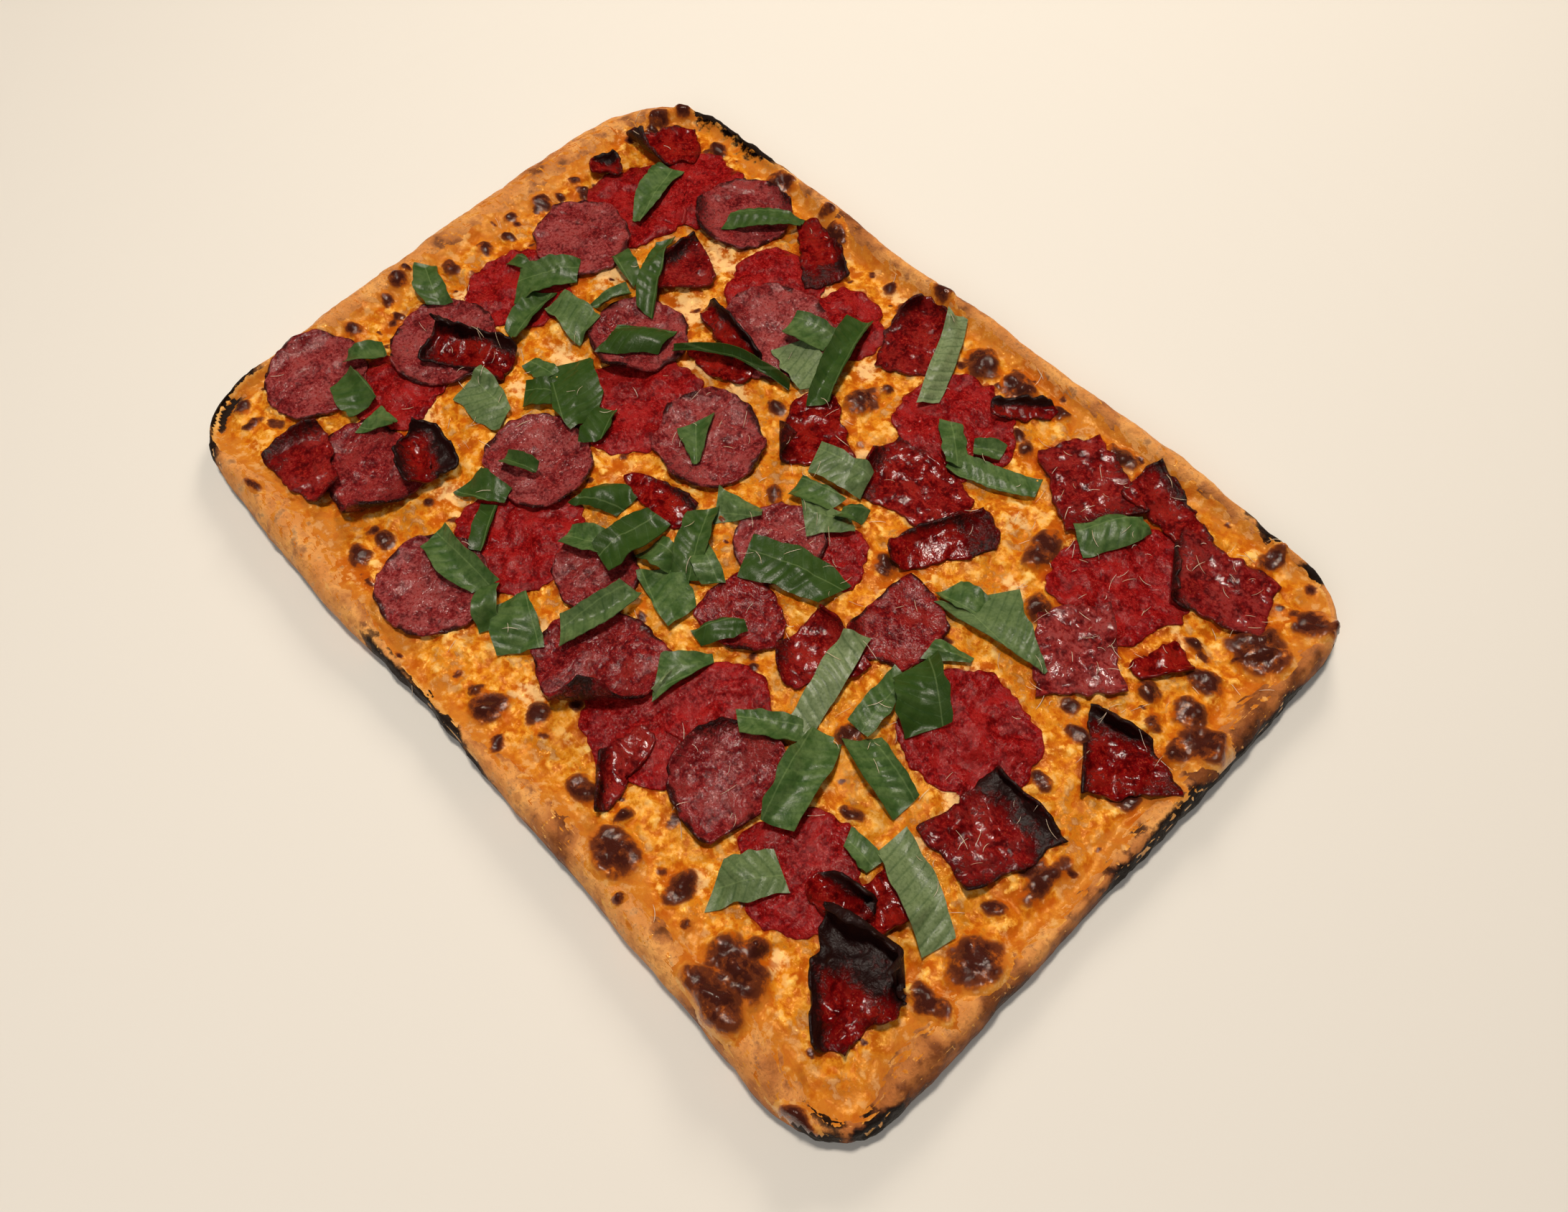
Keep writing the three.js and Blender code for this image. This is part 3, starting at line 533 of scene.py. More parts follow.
def cheese_finish():
    """Melted cheese over tomato: creamy bubbles in amber oil, paler on its humps partly as painted highlight, rust
    where sauce or salami has bled, and browned.
    """
    material, tree, shader, where = finish_tree("melted_cheese")
    broad = add(tree, NOISE, [where, per_mm(16), 4, 0.55])
    medium = add(tree, NOISE, [where, per_mm(4.5), 5, 0.62])
    fine = add(tree, NOISE, [where, per_mm(1.5), 4, 0.6])
    bubble, juicy, shore_near, milky, baked, char = (
        add(tree, KEPT[name], []).outputs["Fac"] for name in ("bubble", "juice", "shore", "pale", "brown", "char")
    )
    scorch = add(tree, TIMES, [add(tree, FADE, [broad, 0.48, 0.6, 0, 1]), add(tree, FADE, [medium, 0.45, 0.58, 0, 1])])
    crest = add(tree, PLUS, [bubble, add(tree, FADE, [medium, 0.35, 0.65, -0.35, 0.35])])
    juice = add(tree, TIMES, [juicy, add(tree, FADE, [medium, 0.6, 0.4, 0.2, 1])])
    thin = add(tree, PLUS, [shore_near, add(tree, FADE, [broad, 0.35, 0.65, -0.5, 0.3])])
    pale = add(tree, PLUS, [milky, add(tree, FADE, [medium, 0.35, 0.65, -0.5, 0.4])])
    brown = add(tree, TIMES, [baked, add(tree, FADE, [medium, 0.3, 0.65, 0.3, 1.8])])
    burnt = add(tree, PLUS, [char, add(tree, FADE, [medium, 0.3, 0.7, -0.3, 0.3])])
    base = add(tree, OVER, [add(tree, FADE, [medium, 0.36, 0.56, 0, 1]), "#c05c0c", "#e69524"])
    for share, tint in [
        (add(tree, FADE, [broad, 0.47, 0.36, 0, 0.8]), "#b9540f"),
        # Paler on the bubbles and humps, darker orange in the hollows: partly the cheese's own cream and oil, partly
        # painted highlight and shade.
        (add(tree, FADE, [crest, 0.25, 0.6, 0, 0.8]), "#f2ae45"),
        (add(tree, FADE, [crest, 0.6, 1.0, 0, 0.8]), "#ffd27a"),
        (add(tree, TIMES, [scorch, 0.85]), "#984a0e"),
        (add(tree, FADE, [juice, 0.08, 0.36, 0, 0.85]), "#a03c0b"),
        (add(tree, FADE, [thin, 0.35, 0.8, 0, 0.5]), "#d08a3c"),
        (add(tree, FADE, [thin, 0.15, 0.4, 0, 0.35]), "#c0661a"),
        (add(tree, FADE, [pale, 0.05, 0.85, 0, 0.8]), "#fcd091"),
        (add(tree, FADE, [brown, 0.02, 0.18, 0, 0.85]), "#9c4a17"),
        (add(tree, FADE, [brown, 0.12, 0.34, 0, 0.95]), "#64301c"),
        (add(tree, FADE, [brown, 0.35, 0.75, 0, 0.85]), "#3a1815"),
        (add(tree, FADE, [burnt, 0.25, 0.6, 0, 1]), "#0e0706"),
    ]:
        base = add(tree, OVER, [share, base, tint])
    relief = add(tree, PLUS, [add(tree, TIMES, [fine, 0.4]), medium])
    crisp = add(tree, FADE, [brown, 0.1, 0.3, 0, 1])
    linked(tree, shader, Base_Color=base, Roughness=add(tree, FADE, [medium, 0.35, 0.65, 0.18, 0.1]))
    linked(tree, shader, Specular_Tint=add(tree, OVER, [crisp, "#ffca74", "#fff4ee"]))
    linked(tree, shader, Normal=add(tree, BUMP, [1.0, 0.55 * MM, 0.1, relief]))
    linked(tree, shader, Specular_IOR_Level=add(tree, FADE, [crisp, 0, 1, 0.5, 0.9]))
    shader.inputs["Subsurface Weight"].default_value = 0.03
    shader.inputs["Subsurface Radius"].default_value = (2.0, 1.0, 0.4)
    shader.inputs["Subsurface Scale"].default_value = 1.0 * MM
    return material


def meat_finish(name, lean, bright, deep, fat, grain, depth, rim_dark, gloss, shine):
    """Cured meat: lean flesh in fine grains with flecks of fat between them, wet with oil and black where it burnt."""
    material, tree, shader, where = finish_tree(name)
    broad = add(tree, NOISE, [where, per_mm(12), 4, 0.55])
    medium = add(tree, NOISE, [where, per_mm(2.7 * grain), 4, 0.6])
    fine = add(tree, NOISE, [where, per_mm(grain), 3, 0.6])
    tiny = add(tree, NOISE, [where, per_mm(0.45 * grain), 2, 0.5])
    bloom, burn, rim = (add(tree, KEPT[name], []).outputs["Fac"] for name in ("pale", "burn", "edge"))
    flecks = add(tree, FADE, [tiny, 0.54, 0.68, 0, 0.5])
    flecks = add(tree, TIMES, [flecks, add(tree, FADE, [medium, 0.46, 0.58, 0, 1])])
    pale = add(tree, TIMES, [bloom, add(tree, FADE, [fine, 0.3, 0.7, 0.1, 1.2])])
    pale = add(tree, TIMES, [pale, add(tree, FADE, [broad, 0.35, 0.65, 0.2, 1.2])])
    burnt = add(tree, PLUS, [burn, add(tree, FADE, [broad, 0.35, 0.65, -0.15, 0.25])])
    burnt = add(tree, PLUS, [burnt, add(tree, FADE, [fine, 0.3, 0.7, -0.2, 0.2])])
    edge = add(tree, PLUS, [rim, add(tree, FADE, [broad, 0.38, 0.62, -0.75, 0.15])])
    base = add(tree, OVER, [add(tree, FADE, [medium, 0.34, 0.56, 0.1, 1]), deep, lean])
    for share, tint in [
        (add(tree, FADE, [fine, 0.5, 0.66, 0, 0.6]), bright),
        (add(tree, FADE, [broad, 0.48, 0.64, 0, 0.6]), bright),
        (add(tree, FADE, [broad, 0.42, 0.32, 0, 0.35]), deep),
        (add(tree, FADE, [fine, 0.47, 0.36, 0, 0.4]), deep),
        (flecks, fat),
        (pale, "#aa6262"),
        (add(tree, FADE, [burnt, 0.25, 0.6, 0, 0.8]), "#430d0c"),
        (add(tree, FADE, [burnt, 0.55, 0.9, 0, 0.9]), "#120706"),
        (add(tree, FADE, [edge, 0.5, 0.9, 0, rim_dark]), "#1c0807"),
    ]:
        base = add(tree, OVER, [share, base, tint])
    relief = add(tree, PLUS, [add(tree, TIMES, [fine, 0.22]), add(tree, TIMES, [tiny, 0.04])])
    relief = add(tree, PLUS, [relief, add(tree, TIMES, [fine, add(tree, FADE, [burnt, 0.4, 0.8, 0, 1])])])
    relief = add(tree, PLUS, [relief, medium])
    wet = add(tree, FADE, [medium, 0.35, 0.65, gloss, gloss + 0.1])
    linked(tree, shader, Base_Color=base, Roughness=add(tree, FADE, [burnt, 0.4, 0.8, wet, 0.5]))
    linked(tree, shader, Normal=add(tree, BUMP, [1.0, depth * MM, 0.1, relief]))
    shader.inputs["Specular IOR Level"].default_value = shine
    return material


def basil_finish():
    """Fresh basil: a soft green leaf with satin ridges, paler along its veins; painted shade darkens its grooves
    and some whole pieces, and a painted sheen lightens others.
    """
    material, tree, shader, where = finish_tree("basil_leaf")
    rib, side, shade = (add(tree, KEPT[name], []).outputs["Fac"] for name in ("rib", "side", "shade"))
    groove = add(tree, SIZE_OF, [add(tree, SINE, [rib])])
    vein = add(tree, FADE, [groove, 0.2, 0.05, 0, 0.15])
    medium = add(tree, NOISE, [where, per_mm(5), 4, 0.55])
    fine = add(tree, NOISE, [where, per_mm(1.2), 4, 0.6])
    base = add(tree, OVER, [add(tree, FADE, [medium, 0.35, 0.65, 0, 1]), "#3b5628", "#586f3f"])
    for share, tint in [
        # Painted light: a shade below zero is a painted shadow, and above zero a painted sheen.
        (add(tree, FADE, [shade, 0.05, -0.6, 0, 0.85]), "#28400f"),
        (add(tree, FADE, [shade, 0.05, 0.6, 0, 0.85]), "#7f8d66"),
        # Painted shade in the grooves between the leaf's pleats.
        (add(tree, FADE, [groove, 0.5, 0.0, 0, 0.45]), "#22401b"),
        (add(tree, TIMES, [vein, add(tree, FADE, [medium, 0.4, 0.55, 0, 1])]), "#7d945f"),
        (add(tree, FADE, [fine, 0.6, 0.3, 0, 0.4]), "#31481f"),
        (add(tree, FADE, [add(tree, SIZE_OF, [side]), 0.4, 0.15, 0, 0.2]), "#8fa66c"),
    ]:
        base = add(tree, OVER, [share, base, tint])
    relief = add(tree, PLUS, [add(tree, TIMES, [fine, 0.7]), medium])
    linked(tree, shader, Base_Color=base, Roughness=add(tree, FADE, [fine, 0.35, 0.65, 0.3, 0.42]))
    linked(tree, shader, Normal=add(tree, BUMP, [1.0, 0.2 * MM, 0.1, relief]))
    shader.inputs["Specular IOR Level"].default_value = 0.4
    return material


def shred_finish():
    """Hard cheese, grated fine and just softened: pale cream, slightly oily."""
    material, tree, shader, where = finish_tree("grated_hard_cheese")
    patches = add(tree, NOISE, [where, per_mm(9), 2, 0.5])
    base = add(tree, OVER, [add(tree, FADE, [patches, 0.4, 0.6, 0, 1]), "#d8bfa0", "#ead9c4"])
    linked(tree, shader, Base_Color=base)
    shader.inputs["Roughness"].default_value = 0.4
    return material


# ---------------------------------------------------------------- dough

CRUST_LEVELS = 3  # how many times the plain crust's faces are divided

plain_cheese = bmesh.new()
plain_cheese.from_mesh(plain["cheese"].data)
bmesh.ops.remove_doubles(plain_cheese, verts=plain_cheese.verts, dist=SAME * MM)
shore = np.array([e.verts[0].co.xy[:] for e in plain_cheese.edges if sheer(e)]) / MM
plain_cheese.free()
shore = shore[np.argsort(np.arctan2(shore[:, 1], shore[:, 0]))]

crust_mesh = refined(plain["crust"], CRUST_LEVELS)
points = points_of(crust_mesh)
outward = normals_of(crust_mesh)
x, y, z = points.T
to_cheese = loop_distance(x, y, shore)
on_rim = ramp(z, 1.5, 6) * ramp(to_cheese, 12, 2)
puff = 1.0 * noise(x, y, 24, 21) + 0.5 * lumps(x + z, y - z, 9, 22) + 0.14 * lumps(x + z, y + z, 3, 25, 2)
points += outward * (puff * on_rim)[:, None]
x, y, z = points.T
# The right end's wall is browner below its top: partly real baking, partly painted shade.
bake = 0.32 + 0.45 * lumps(x, y, 22, 31) + 0.6 * ramp(x, 206, 218) * ramp(y, 140, 60) * ramp(z, 21, 9)
bake = bake + 0.5 * ramp(z, 11, 2)
bake += 0.25 * ramp(puff, 0.3, 1.4) - 0.1 * ramp(x, -60, -200)
write_values(crust_mesh, "bake", bake)
write_values(crust_mesh, "stain", ramp(to_cheese - bare(x, y) + 3 * noise(x, y, 9, 33), -5, 2))
wavy = z + 2.5 * noise(x, y, 14, 34)
far = ramp(y, 90, 110) * ramp(x, 165, 135)  # burnt on top, as the other sides are below
underneath = far * ramp(wavy, 5, 13) + (1 - far) * ramp(wavy, 16, 12)
char = 1.6 * spots(x, y, BURNS, 0.5) * underneath
char += 1.2 * ramp(x + 4 * noise(x, y, 30, 35), 205, 214) * ramp(wavy, 12, 7) * ramp(y, -25, 5)
char += 0.5 * ramp(wavy, 5, 1) * ramp(to_cheese, -3, -12)
write_values(crust_mesh, "char", char)
blistered = 0.6 * np.clip(char, 0, 1) * on_rim * lumps(x + z, y - z, 4, 36, 2)
place_points(crust_mesh, points + outward * blistered[:, None])
crust = make_piece("crust_baked", crust_mesh, dough_finish())
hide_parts("crust")

# ---------------------------------------------------------------- the cheese's surface

ground = Map()
gx, gy = ground.x, ground.y
flat_x, flat_y = gx.ravel(), gy.ravel()
crust_top = heights(tree_of([crust_mesh]), flat_x, flat_y, otherwise=0).reshape(gx.shape)
plain_top = heights(tree_of([refined(plain["cheese"], 1)]), flat_x, flat_y).reshape(gx.shape)
plain_top = np.where(np.isnan(plain_top), crust_top, plain_top)
inland = loop_distance(flat_x, flat_y, shore).reshape(gx.shape)
reach = inland - bare(gx, gy) + 2.6 * noise(gx, gy, 16, 51) + 1.2 * lumps(gx, gy, 7, 52, 2)
reach = np.maximum(reach, 7 * ramp(spots(flat_x, flat_y, BLISTERS, 0.45), 0, 0.4).reshape(gx.shape))
# Near its shore the cheese is a skin on the dough; further in it is a layer of its own.
skin = crust_top + np.where(reach > 0, 0.35 * ramp(reach, 0, 1.2) + 0.6 * ramp(reach, 0, 7), np.clip(3 * reach, -5, 0))
layer = plain_top + swells(gx, gy) + 0.75 * lumps(gx, gy, 12, 53) + 0.8 * lumps(gx, gy, 5, 56, 2)
surface = skin + (np.maximum(layer, skin) - skin) * ramp(inland, 2, 11)

# ---------------------------------------------------------------- meat

# [name, lean, bright, deep, fat, grain, depth, rim_dark, gloss, shine] of each kind's finish
SOFT = ("salami_soft", "#840709", "#ac1d1a", "#560305", "#b04f44", 1.2, 1.0, 0.15, 0.08, 0.26)
CRISPED = ("salami_crisped", "#741014", "#9e2a22", "#45080c", "#b4706c", 1.3, 0.85, 0.85, 0.09, 0.4)
ROASTED = ("coppa_roasted", "#720709", "#a02116", "#3e0305", "#a8402a", 1.7, 0.5, 0.3, 0.08, 0.45)
FINISHES = {
    "salami_flat": (meat_finish(*SOFT), "salami"),
    "salami_crisp": (meat_finish(*CRISPED), "crisped_salami"),
    "coppa": (meat_finish(*ROASTED), "coppa"),
}
THICKNESS = {"salami_flat": 0.8, "salami_crisp": 1.1, "coppa": 1.1}
STIFFNESS = {"salami_flat": 0.0, "salami_crisp": 0.6, "coppa": 0.7}
CRUMPLE = {"salami_flat": 0.45, "salami_crisp": 0.6, "coppa": 0.4}
RAGGED = {"salami_flat": 2.3, "salami_crisp": 1.2, "coppa": 2.0}
MEAT_CELL = 1.1
SUNK = 0.5  # how far the rim of a soft slice sinks

pile = np.maximum(surface, crust_top)
meats = []
for number, name in enumerate(n for kind in FINISHES for n in sorted(plain) if n.startswith(kind)):
    kind, serial = name.rsplit("_", 1)
    low, high = (np.array(corner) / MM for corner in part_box(name))
    px, py = (low[:2] + high[:2]) / 2
    length, width, turn = (*(high - low)[:2], 0)
    if kind == "coppa":
        length, width, turn, square, taper, cup, curls, burnt, side, pale = COPPA_PIECES[serial]
    else:
        looks = CRISP_SLICES[serial] if kind == "salami_crisp" else FLAT_SLICE
        square, taper, cup, curls, burnt, side, pale = looks
    bm = bmesh.new()
    edge_layer, burn_layer = bm.verts.layers.float.new("edge"), bm.verts.layers.float.new("burn")
    made, u, v = grid_sheet(bm, length, width, MEAT_CELL)
    out = np.maximum(np.abs(u), np.abs(v))
    along = length / 2 * u * np.sqrt(1 - square * v * v / 2)
    across = width / 2 * v * np.sqrt(1 - square * u * u / 2) * (1 + taper * u)
    angle = math.radians(turn)
    x = along * math.cos(angle) - across * math.sin(angle)
    y = along * math.sin(angle) + across * math.cos(angle)
    from_middle = np.maximum(np.hypot(x, y), 1)
    ragged = 1.2 * noise(x, y, 11, number) + 0.7 * noise(x, y, 4.5, number + 1) + 0.35 * noise(x, y, 2.2, number + 2)
    ragged *= RAGGED[kind] * out**3
    x, y = x * (1 + ragged / from_middle), y * (1 + ragged / from_middle)
    z = cup * out**3 * (0.7 + 0.5 * noise(x, y, 17, number + 2))
    charred = max(burnt - 0.6, 0) * 3.5
    z += (CRUMPLE[kind] + charred) * lumps(x, y, 9, 40 + number, 3) * (0.6 + 0.8 * out)
    x, y = x + 0.6 * charred * noise(x, y, 8, 70 + number), y + 0.6 * charred * noise(x, y, 8, 71 + number)
    if kind == "coppa":
        z += 1.6 * (0.4 - np.abs(noise(along, across / 3, 8, 90 + number))) + 0.5 * noise(x, y, 4, 91 + number)
    points = np.column_stack([x, y, z])
    curled = np.zeros_like(x)
    for curl in curls:
        points, round_by = rolled(points, *curl)
        curled = np.maximum(curled, round_by)
    sooty = 0.35 * ramp(noise(x, y, 22, number + 7), -0.5, 0.8) * out**2
    if side is not None:
        past = (x * math.cos(math.radians(side)) + y * math.sin(math.radians(side))) / min(length, width) * 2
        sooty += 0.65 * ramp(past + 0.25 * noise(x, y, 8, number + 8), 1.05 - burnt, 1.7 - burnt)
    sooty = burnt * np.minimum(1.1, 0.08 + 0.45 * curled + 0.12 * out**6 + sooty)
    points[:, :2] += (px, py)
    floor = Map(pile).at(points[:, 0], points[:, 1])
    points = settled(points, floor, STIFFNESS[kind], THICKNESS[kind] + GAP)
    if kind == "salami_flat":
        points[:, 2] -= SUNK * out**4
    for vertex, place in zip(made, points):
        vertex.co = Vector(place) * MM
    for vertex, rim, soot in zip(made, out, sooty):
        vertex[edge_layer], vertex[burn_layer] = rim**5, soot
    mesh = thickened(mesh_of(bm, name + "_sheet"), THICKNESS[kind])
    write_values(mesh, "pale", pale)
    material, slot = FINISHES[kind]
    piece = make_piece(name + "_baked", mesh, material)
    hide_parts(name)
    meats.append(mesh)
    low, high = points.min(0) - 2, points.max(0) + 2
    near = (gx > low[0]) & (gx < high[0]) & (gy > low[1]) & (gy < high[1])
    on_top = heights(tree_of([mesh]), gx[near], gy[near])
    pile[near] = np.fmax(pile[near], on_top)

# ---------------------------------------------------------------- cheese

CELL = 1.25
HALF_LENGTH, HALF_WIDTH = 224, 162  # of the flat grid that the cheese starts as
TOUCHING, JUICY = 1.3, 3  # the meat touches the cheese, or bleeds into it, where it is this near
UNDER = 0.2  # how far the cheese stays below the meat
CHEESE_BOTTOM = 6.3
meat_foot = heights(tree_of(meats), flat_x, flat_y, upwards=True).reshape(gx.shape)
covered = ~np.isnan(meat_foot)
foot = np.where(covered, meat_foot, 99)
touching = (covered & (foot - surface < TOUCHING)).astype(float)
lip = softened(touching, 4)
surface = surface + 1.1 * lip * (1 - touching)
surface = np.where(covered, np.minimum(surface, foot - UNDER), surface)
juice = softened((covered & (foot - surface < JUICY)).astype(float), 9)


def scattered(count, small, large, border):
    """Spots at random all over the cheese, more of them kept near its shore when border is above 0."""
    places = np.column_stack([rng.uniform(-215, 215, count), rng.uniform(-150, 150, count)])
    depth = loop_distance(places[:, 0], places[:, 1], shore)
    keep = (depth > 1) & (rng.random(count) < np.where(depth < 34, 1, 1 - border))
    across = rng.uniform(small, large, count)
    deep = across * rng.uniform(0.65, 1.3, count)
    return [tuple(row) for row in np.column_stack([places, across, deep])[keep]]


bubbles, browned = scattered(1500, 2.5, 6.5, 0), scattered(300, 2.0, 5.0, 0.65)

cheese_bm = bmesh.new()
bmesh.ops.create_grid(
    cheese_bm, x_segments=round(2 * HALF_LENGTH / CELL), y_segments=round(2 * HALF_WIDTH / CELL), size=1,
    matrix=Matrix.Diagonal((HALF_LENGTH * MM, HALF_WIDTH * MM, 1, 1)),
)
cheese_bm.verts.ensure_lookup_table()
spread = np.array([v.co.xy[:] for v in cheese_bm.verts]) / MM
outside = Map(widened(reach, 2)).at(spread[:, 0], spread[:, 1]) < -1.5
outside |= (Map(crust_top).at(spread[:, 0], spread[:, 1]) < 8) & (Map(inland).at(spread[:, 0], spread[:, 1]) < 4)
bmesh.ops.delete(cheese_bm, geom=[v for v, out in zip(cheese_bm.verts, outside) if out], context="VERTS")
bmesh.ops.delete(cheese_bm, geom=[v for v in cheese_bm.verts if not v.link_faces], context="VERTS")
cheese_mesh = bpy.data.meshes.new("cheese_sheet")
cheese_bm.to_mesh(cheese_mesh)
points = points_of(cheese_mesh)
x, y, _ = points.T
free = 1 - np.clip(Map(softened(covered.astype(float), 1)).at(x, y), 0, 1)
brown = spots(x, y, BLISTERS, 0.25)
sizes = np.zeros_like(x)
for px, py, w, h in BLISTERS:
    near = np.hypot((x - px) / w, (y - py) / h) < 1
    sizes[near] = np.maximum(sizes[near], math.sqrt(w * h))
little = spots(x, y, browned, 0.2, 5)
bubble = spots(x, y, bubbles, 0.1, 8)
dome = np.sqrt(np.clip(brown * 1.25, 0, 1)) * (0.8 + 0.16 * sizes) * (1 + 0.45 * lumps(x, y, 5, 61, 2))
dome += np.sqrt(np.clip(little, 0, 1)) * 0.5 + np.sqrt(np.clip(bubble, 0, 1)) * 0.9
points[:, 2] = Map(surface).at(x, y) + dome * free
place_points(cheese_mesh, points)
write_values(cheese_mesh, "brown", np.maximum(brown, little * 0.75))
# Humps above the softened surface are made paler in the finish: partly the cheese's own cream, partly painted
# highlight.
humps = Map(surface - softened(surface, 8)).at(x, y)
write_values(cheese_mesh, "bubble", 0.7 * bubble + 0.9 * humps + 0.1)
wide_pools = [(px, py, 1.1 * w, 1.1 * h) for px, py, w, h in POOLS]
write_values(cheese_mesh, "pale", spots(x, y, wide_pools, 0.5, 2))
write_values(cheese_mesh, "char", spots(x, y, BURNS, 0.4) * ramp(y, 90, 110) * ramp(x, 150, 120))
write_values(cheese_mesh, "juice", Map(juice).at(x, y))
write_values(cheese_mesh, "shore", ramp(Map(inland).at(x, y), 16, 0))

# The sheet's edge goes down into the dough, and one face closes it underneath.
cheese_bm.clear()
cheese_bm.from_mesh(cheese_mesh)
edge_lines = [e for e in cheese_bm.edges if e.is_boundary]
walls = bmesh.ops.extrude_edge_only(cheese_bm, edges=edge_lines)["geom"]
for vertex in walls:
    if isinstance(vertex, bmesh.types.BMVert):
        vertex.co.z = CHEESE_BOTTOM * MM
bottom = [e for e in walls if isinstance(e, bmesh.types.BMEdge) and e.is_boundary]
bmesh.ops.holes_fill(cheese_bm, edges=bottom, sides=0)
bmesh.ops.recalc_face_normals(cheese_bm, faces=cheese_bm.faces)
bmesh.ops.triangulate(cheese_bm, faces=[f for f in cheese_bm.faces if len(f.verts) > 4])
cheese_bm.to_mesh(cheese_mesh)
cheese_bm.free()
cheese = make_piece("cheese_melted", cheese_mesh, cheese_finish())
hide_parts("cheese")

# ---------------------------------------------------------------- basil

LEAF_CELL, LEAF_STIFFNESS, LEAF_GAP, LEAF_THICKNESS = 1.05, 0.55, 0.6, 0.35

food_top = np.maximum(pile, np.maximum(surface, crust_top))
bed = Map(softened(widened(food_top, 2), 2))

basil_bm = bmesh.new()
shade_layer, rib_layer, side_layer = (basil_bm.verts.layers.float.new(name) for name in ("shade", "rib", "side"))
for number, (px, py, length, width, turn, taper, point, bend, arch, cup, shade) in enumerate(LEAVES):
    made, u, v = grid_sheet(basil_bm, length, width, LEAF_CELL)
    narrowed = 1 - abs(point) * (ramp(u, 0.1, 1.3) if point > 0 else ramp(np.abs(u), 0.3, 1.2))
    half = width / 2 * narrowed * (1 + taper * u) / (1 + abs(taper))
    half *= 1 + 0.12 * noise(u * 3 + 7 * np.sign(v), u * 0, 1, number)
    slant = rng.uniform(-0.6, 0.6, 2)
    along = length / 2 * u + (slant[0] * (1 - u) + slant[1] * (1 + u)) / 2 * half * v
    across = half * v + 0.4 * bend * (u * u - 0.4)
    fold, crease = rng.uniform(-3, 3), rng.uniform(-0.5, 0.5)
    angle = math.radians(turn)
    x = px + along * math.cos(angle) - across * math.sin(angle)
    y = py + along * math.sin(angle) + across * math.cos(angle)
    beside = across - rng.uniform(-0.9, 0.9) * width / 2
    rib = (along + 0.55 * np.abs(beside) + 0.9 * noise(x, y, 8, number + 5)) * math.pi / RIB
    pleats = min(0.75, width / 18) * np.abs(np.sin(rib)) * ramp(noise(x, y, 10, number + 3), -0.9, 0.6)
    z = arch * (0.5 - u * u) + cup * v * v + pleats + 0.5 * noise(x, y, 9, number)
    z += fold * np.maximum(u - crease, 0) + rng.uniform(-3, 3) * np.abs(v + 0.5 * u)
    x, y, z = settled(np.column_stack([x, y, z]), bed.at(x, y), LEAF_STIFFNESS, LEAF_GAP).T
    for vertex, cx, cy, cz, r, t in zip(made, x, y, z, rib, beside):
        vertex.co = Vector((cx, cy, cz)) * MM
        vertex[shade_layer], vertex[rib_layer], vertex[side_layer] = shade, r, t
basil_mesh = thickened(mesh_of(basil_bm, "basil"), LEAF_THICKNESS)
basil_mesh.set_sharp_from_angle(angle=math.radians(45))
make_piece("basil_leaves", basil_mesh, basil_finish())

# ---------------------------------------------------------------- grated cheese

SHRED_THICKNESS = 0.15

leaf_top = heights(tree_of([basil_mesh]), flat_x, flat_y).reshape(gx.shape)
table = Map(softened(widened(np.fmax(food_top, leaf_top), 1), 3))
shred_bm = bmesh.new()
for px, py, around, count in DUSTINGS:
    for _ in range(count):
        cx, cy = px + rng.normal() * around, py + rng.normal() * around * 0.7
        if loop_distance(np.array([cx]), np.array([cy]), shore)[0] < -6:
            continue
        length, width = rng.uniform(2, 8), rng.uniform(0.1, 0.2)
        made = bmesh.ops.create_grid(shred_bm, x_segments=5, y_segments=1, size=1)["verts"]
        angle, curve, lift = rng.uniform(0, math.tau), rng.uniform(-0.7, 0.7), rng.uniform(0, 0.7)
        for vertex in made:
            u, v = vertex.co.x, vertex.co.y
            along, across = u * length / 2, v * width / 2 * (1 - 0.5 * u * u) + curve * u * u
            sx = cx + along * math.cos(angle) - across * math.sin(angle)
            sy = cy + along * math.sin(angle) + across * math.cos(angle)
            vertex.co = Vector((sx, sy, float(table.at(sx, sy)) + 0.2 + lift * (u + 1))) * MM
bmesh.ops.solidify(shred_bm, geom=shred_bm.faces[:], thickness=SHRED_THICKNESS * MM)
bmesh.ops.recalc_face_normals(shred_bm, faces=shred_bm.faces)
make_piece("grated_cheese", mesh_of(shred_bm, "shreds"), shred_finish())

# ---------------------------------------------------------------- studio

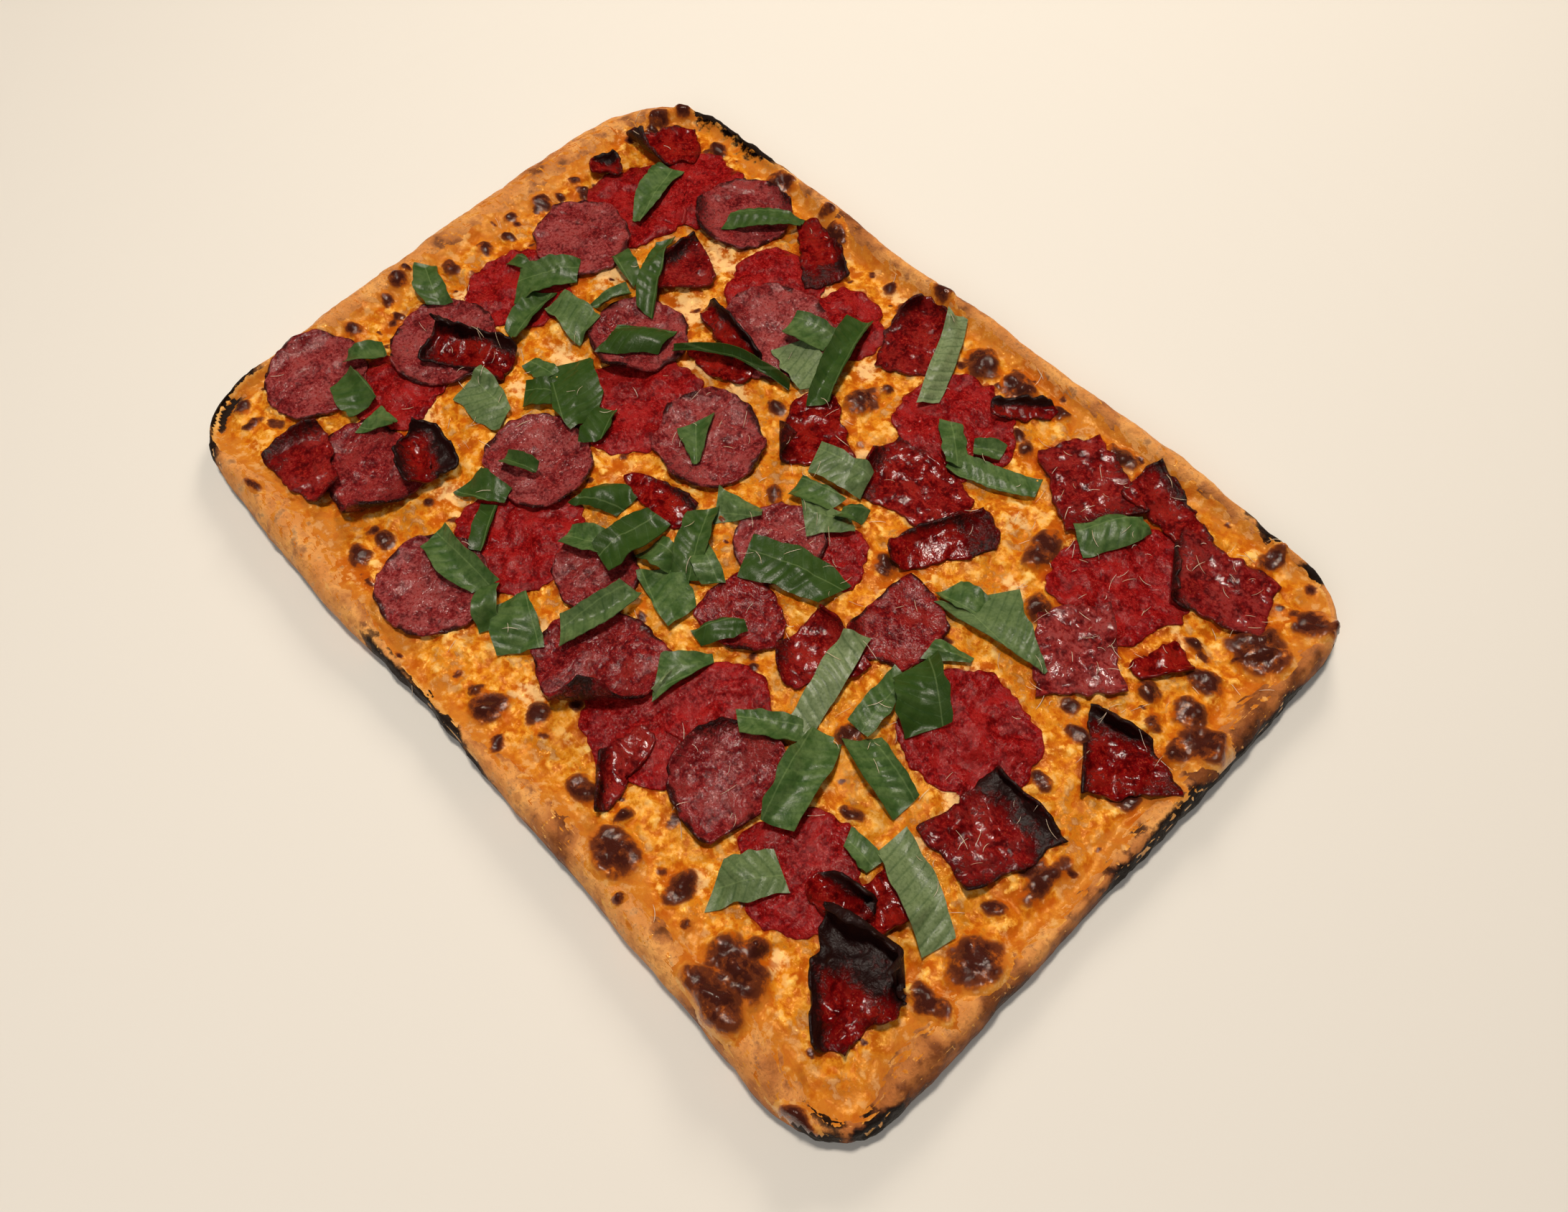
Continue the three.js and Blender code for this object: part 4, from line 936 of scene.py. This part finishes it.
FLOOR_HALF = 4  # metres

floor_bm = bmesh.new()
bmesh.ops.create_grid(floor_bm, x_segments=1, y_segments=1, size=FLOOR_HALF)
floor = placed("floor", mesh_of(floor_bm, "floor"))
paper, _, paper_shader, _ = finish_tree("pale_paper")
paper_shader.inputs["Base Color"].default_value = colour("#e9e6e1")
paper_shader.inputs["Roughness"].default_value = 0.8
floor.data.materials.append(paper)

world = bpy.data.worlds.new("studio")
bpy.context.scene.world = world
world.use_nodes = True
background = world.node_tree.nodes["Background"].inputs
background["Color"].default_value, background["Strength"].default_value = colour("#f4efe8"), 0.1
world.cycles_visibility.glossy = False
bpy.context.scene.view_settings.view_transform = "Standard"


def soft_light(name, place, size, power, tint, glint=False):
    """A square panel of light aimed at the pizza, in metres. One for glints shows only where a surface shines."""
    data = bpy.data.lights.new(name, "AREA")
    data.size, data.energy, data.color = size, power, colour(tint)[:3]
    lamp = placed(name, data)
    lamp.location, lamp.visible_glossy, lamp.visible_diffuse = place, glint, not glint
    lamp.rotation_euler = (-Vector(place)).to_track_quat("-Z", "Y").to_euler()


soft_light("key", (-0.15, 0.1, 1.5), 0.2, 15, "#fff3e2")
soft_light("key_glint", (-0.15, 0.1, 1.5), 0.12, 13, "#fff4e6", glint=True)
soft_light("back", (-0.8, 1.3, 0.9), 0.5, 16, "#fff0dc")
soft_light("near", (0.5, -1.1, 1.1), 1.0, 6.5, "#fbf6f0")

# The camera: where it is in metres, which way it looks, how far it leans in degrees and its lens in millimetres.
EYE, LOOK, LEAN, LENS, SENSOR = (0.2164, -0.1505, 0.4324), (-0.3517, 0.2762, -0.8944), -5.34, 26.42, 36
camera_data = bpy.data.cameras.new("camera")
camera_data.lens, camera_data.sensor_width = LENS, SENSOR
camera = placed("camera", camera_data)
aim = Vector(LOOK).to_track_quat("-Z", "Y").to_matrix().to_4x4()
camera.matrix_world = Matrix.Translation(EYE) @ aim @ Matrix.Rotation(math.radians(LEAN), 4, "Z")
bpy.context.scene.camera = camera
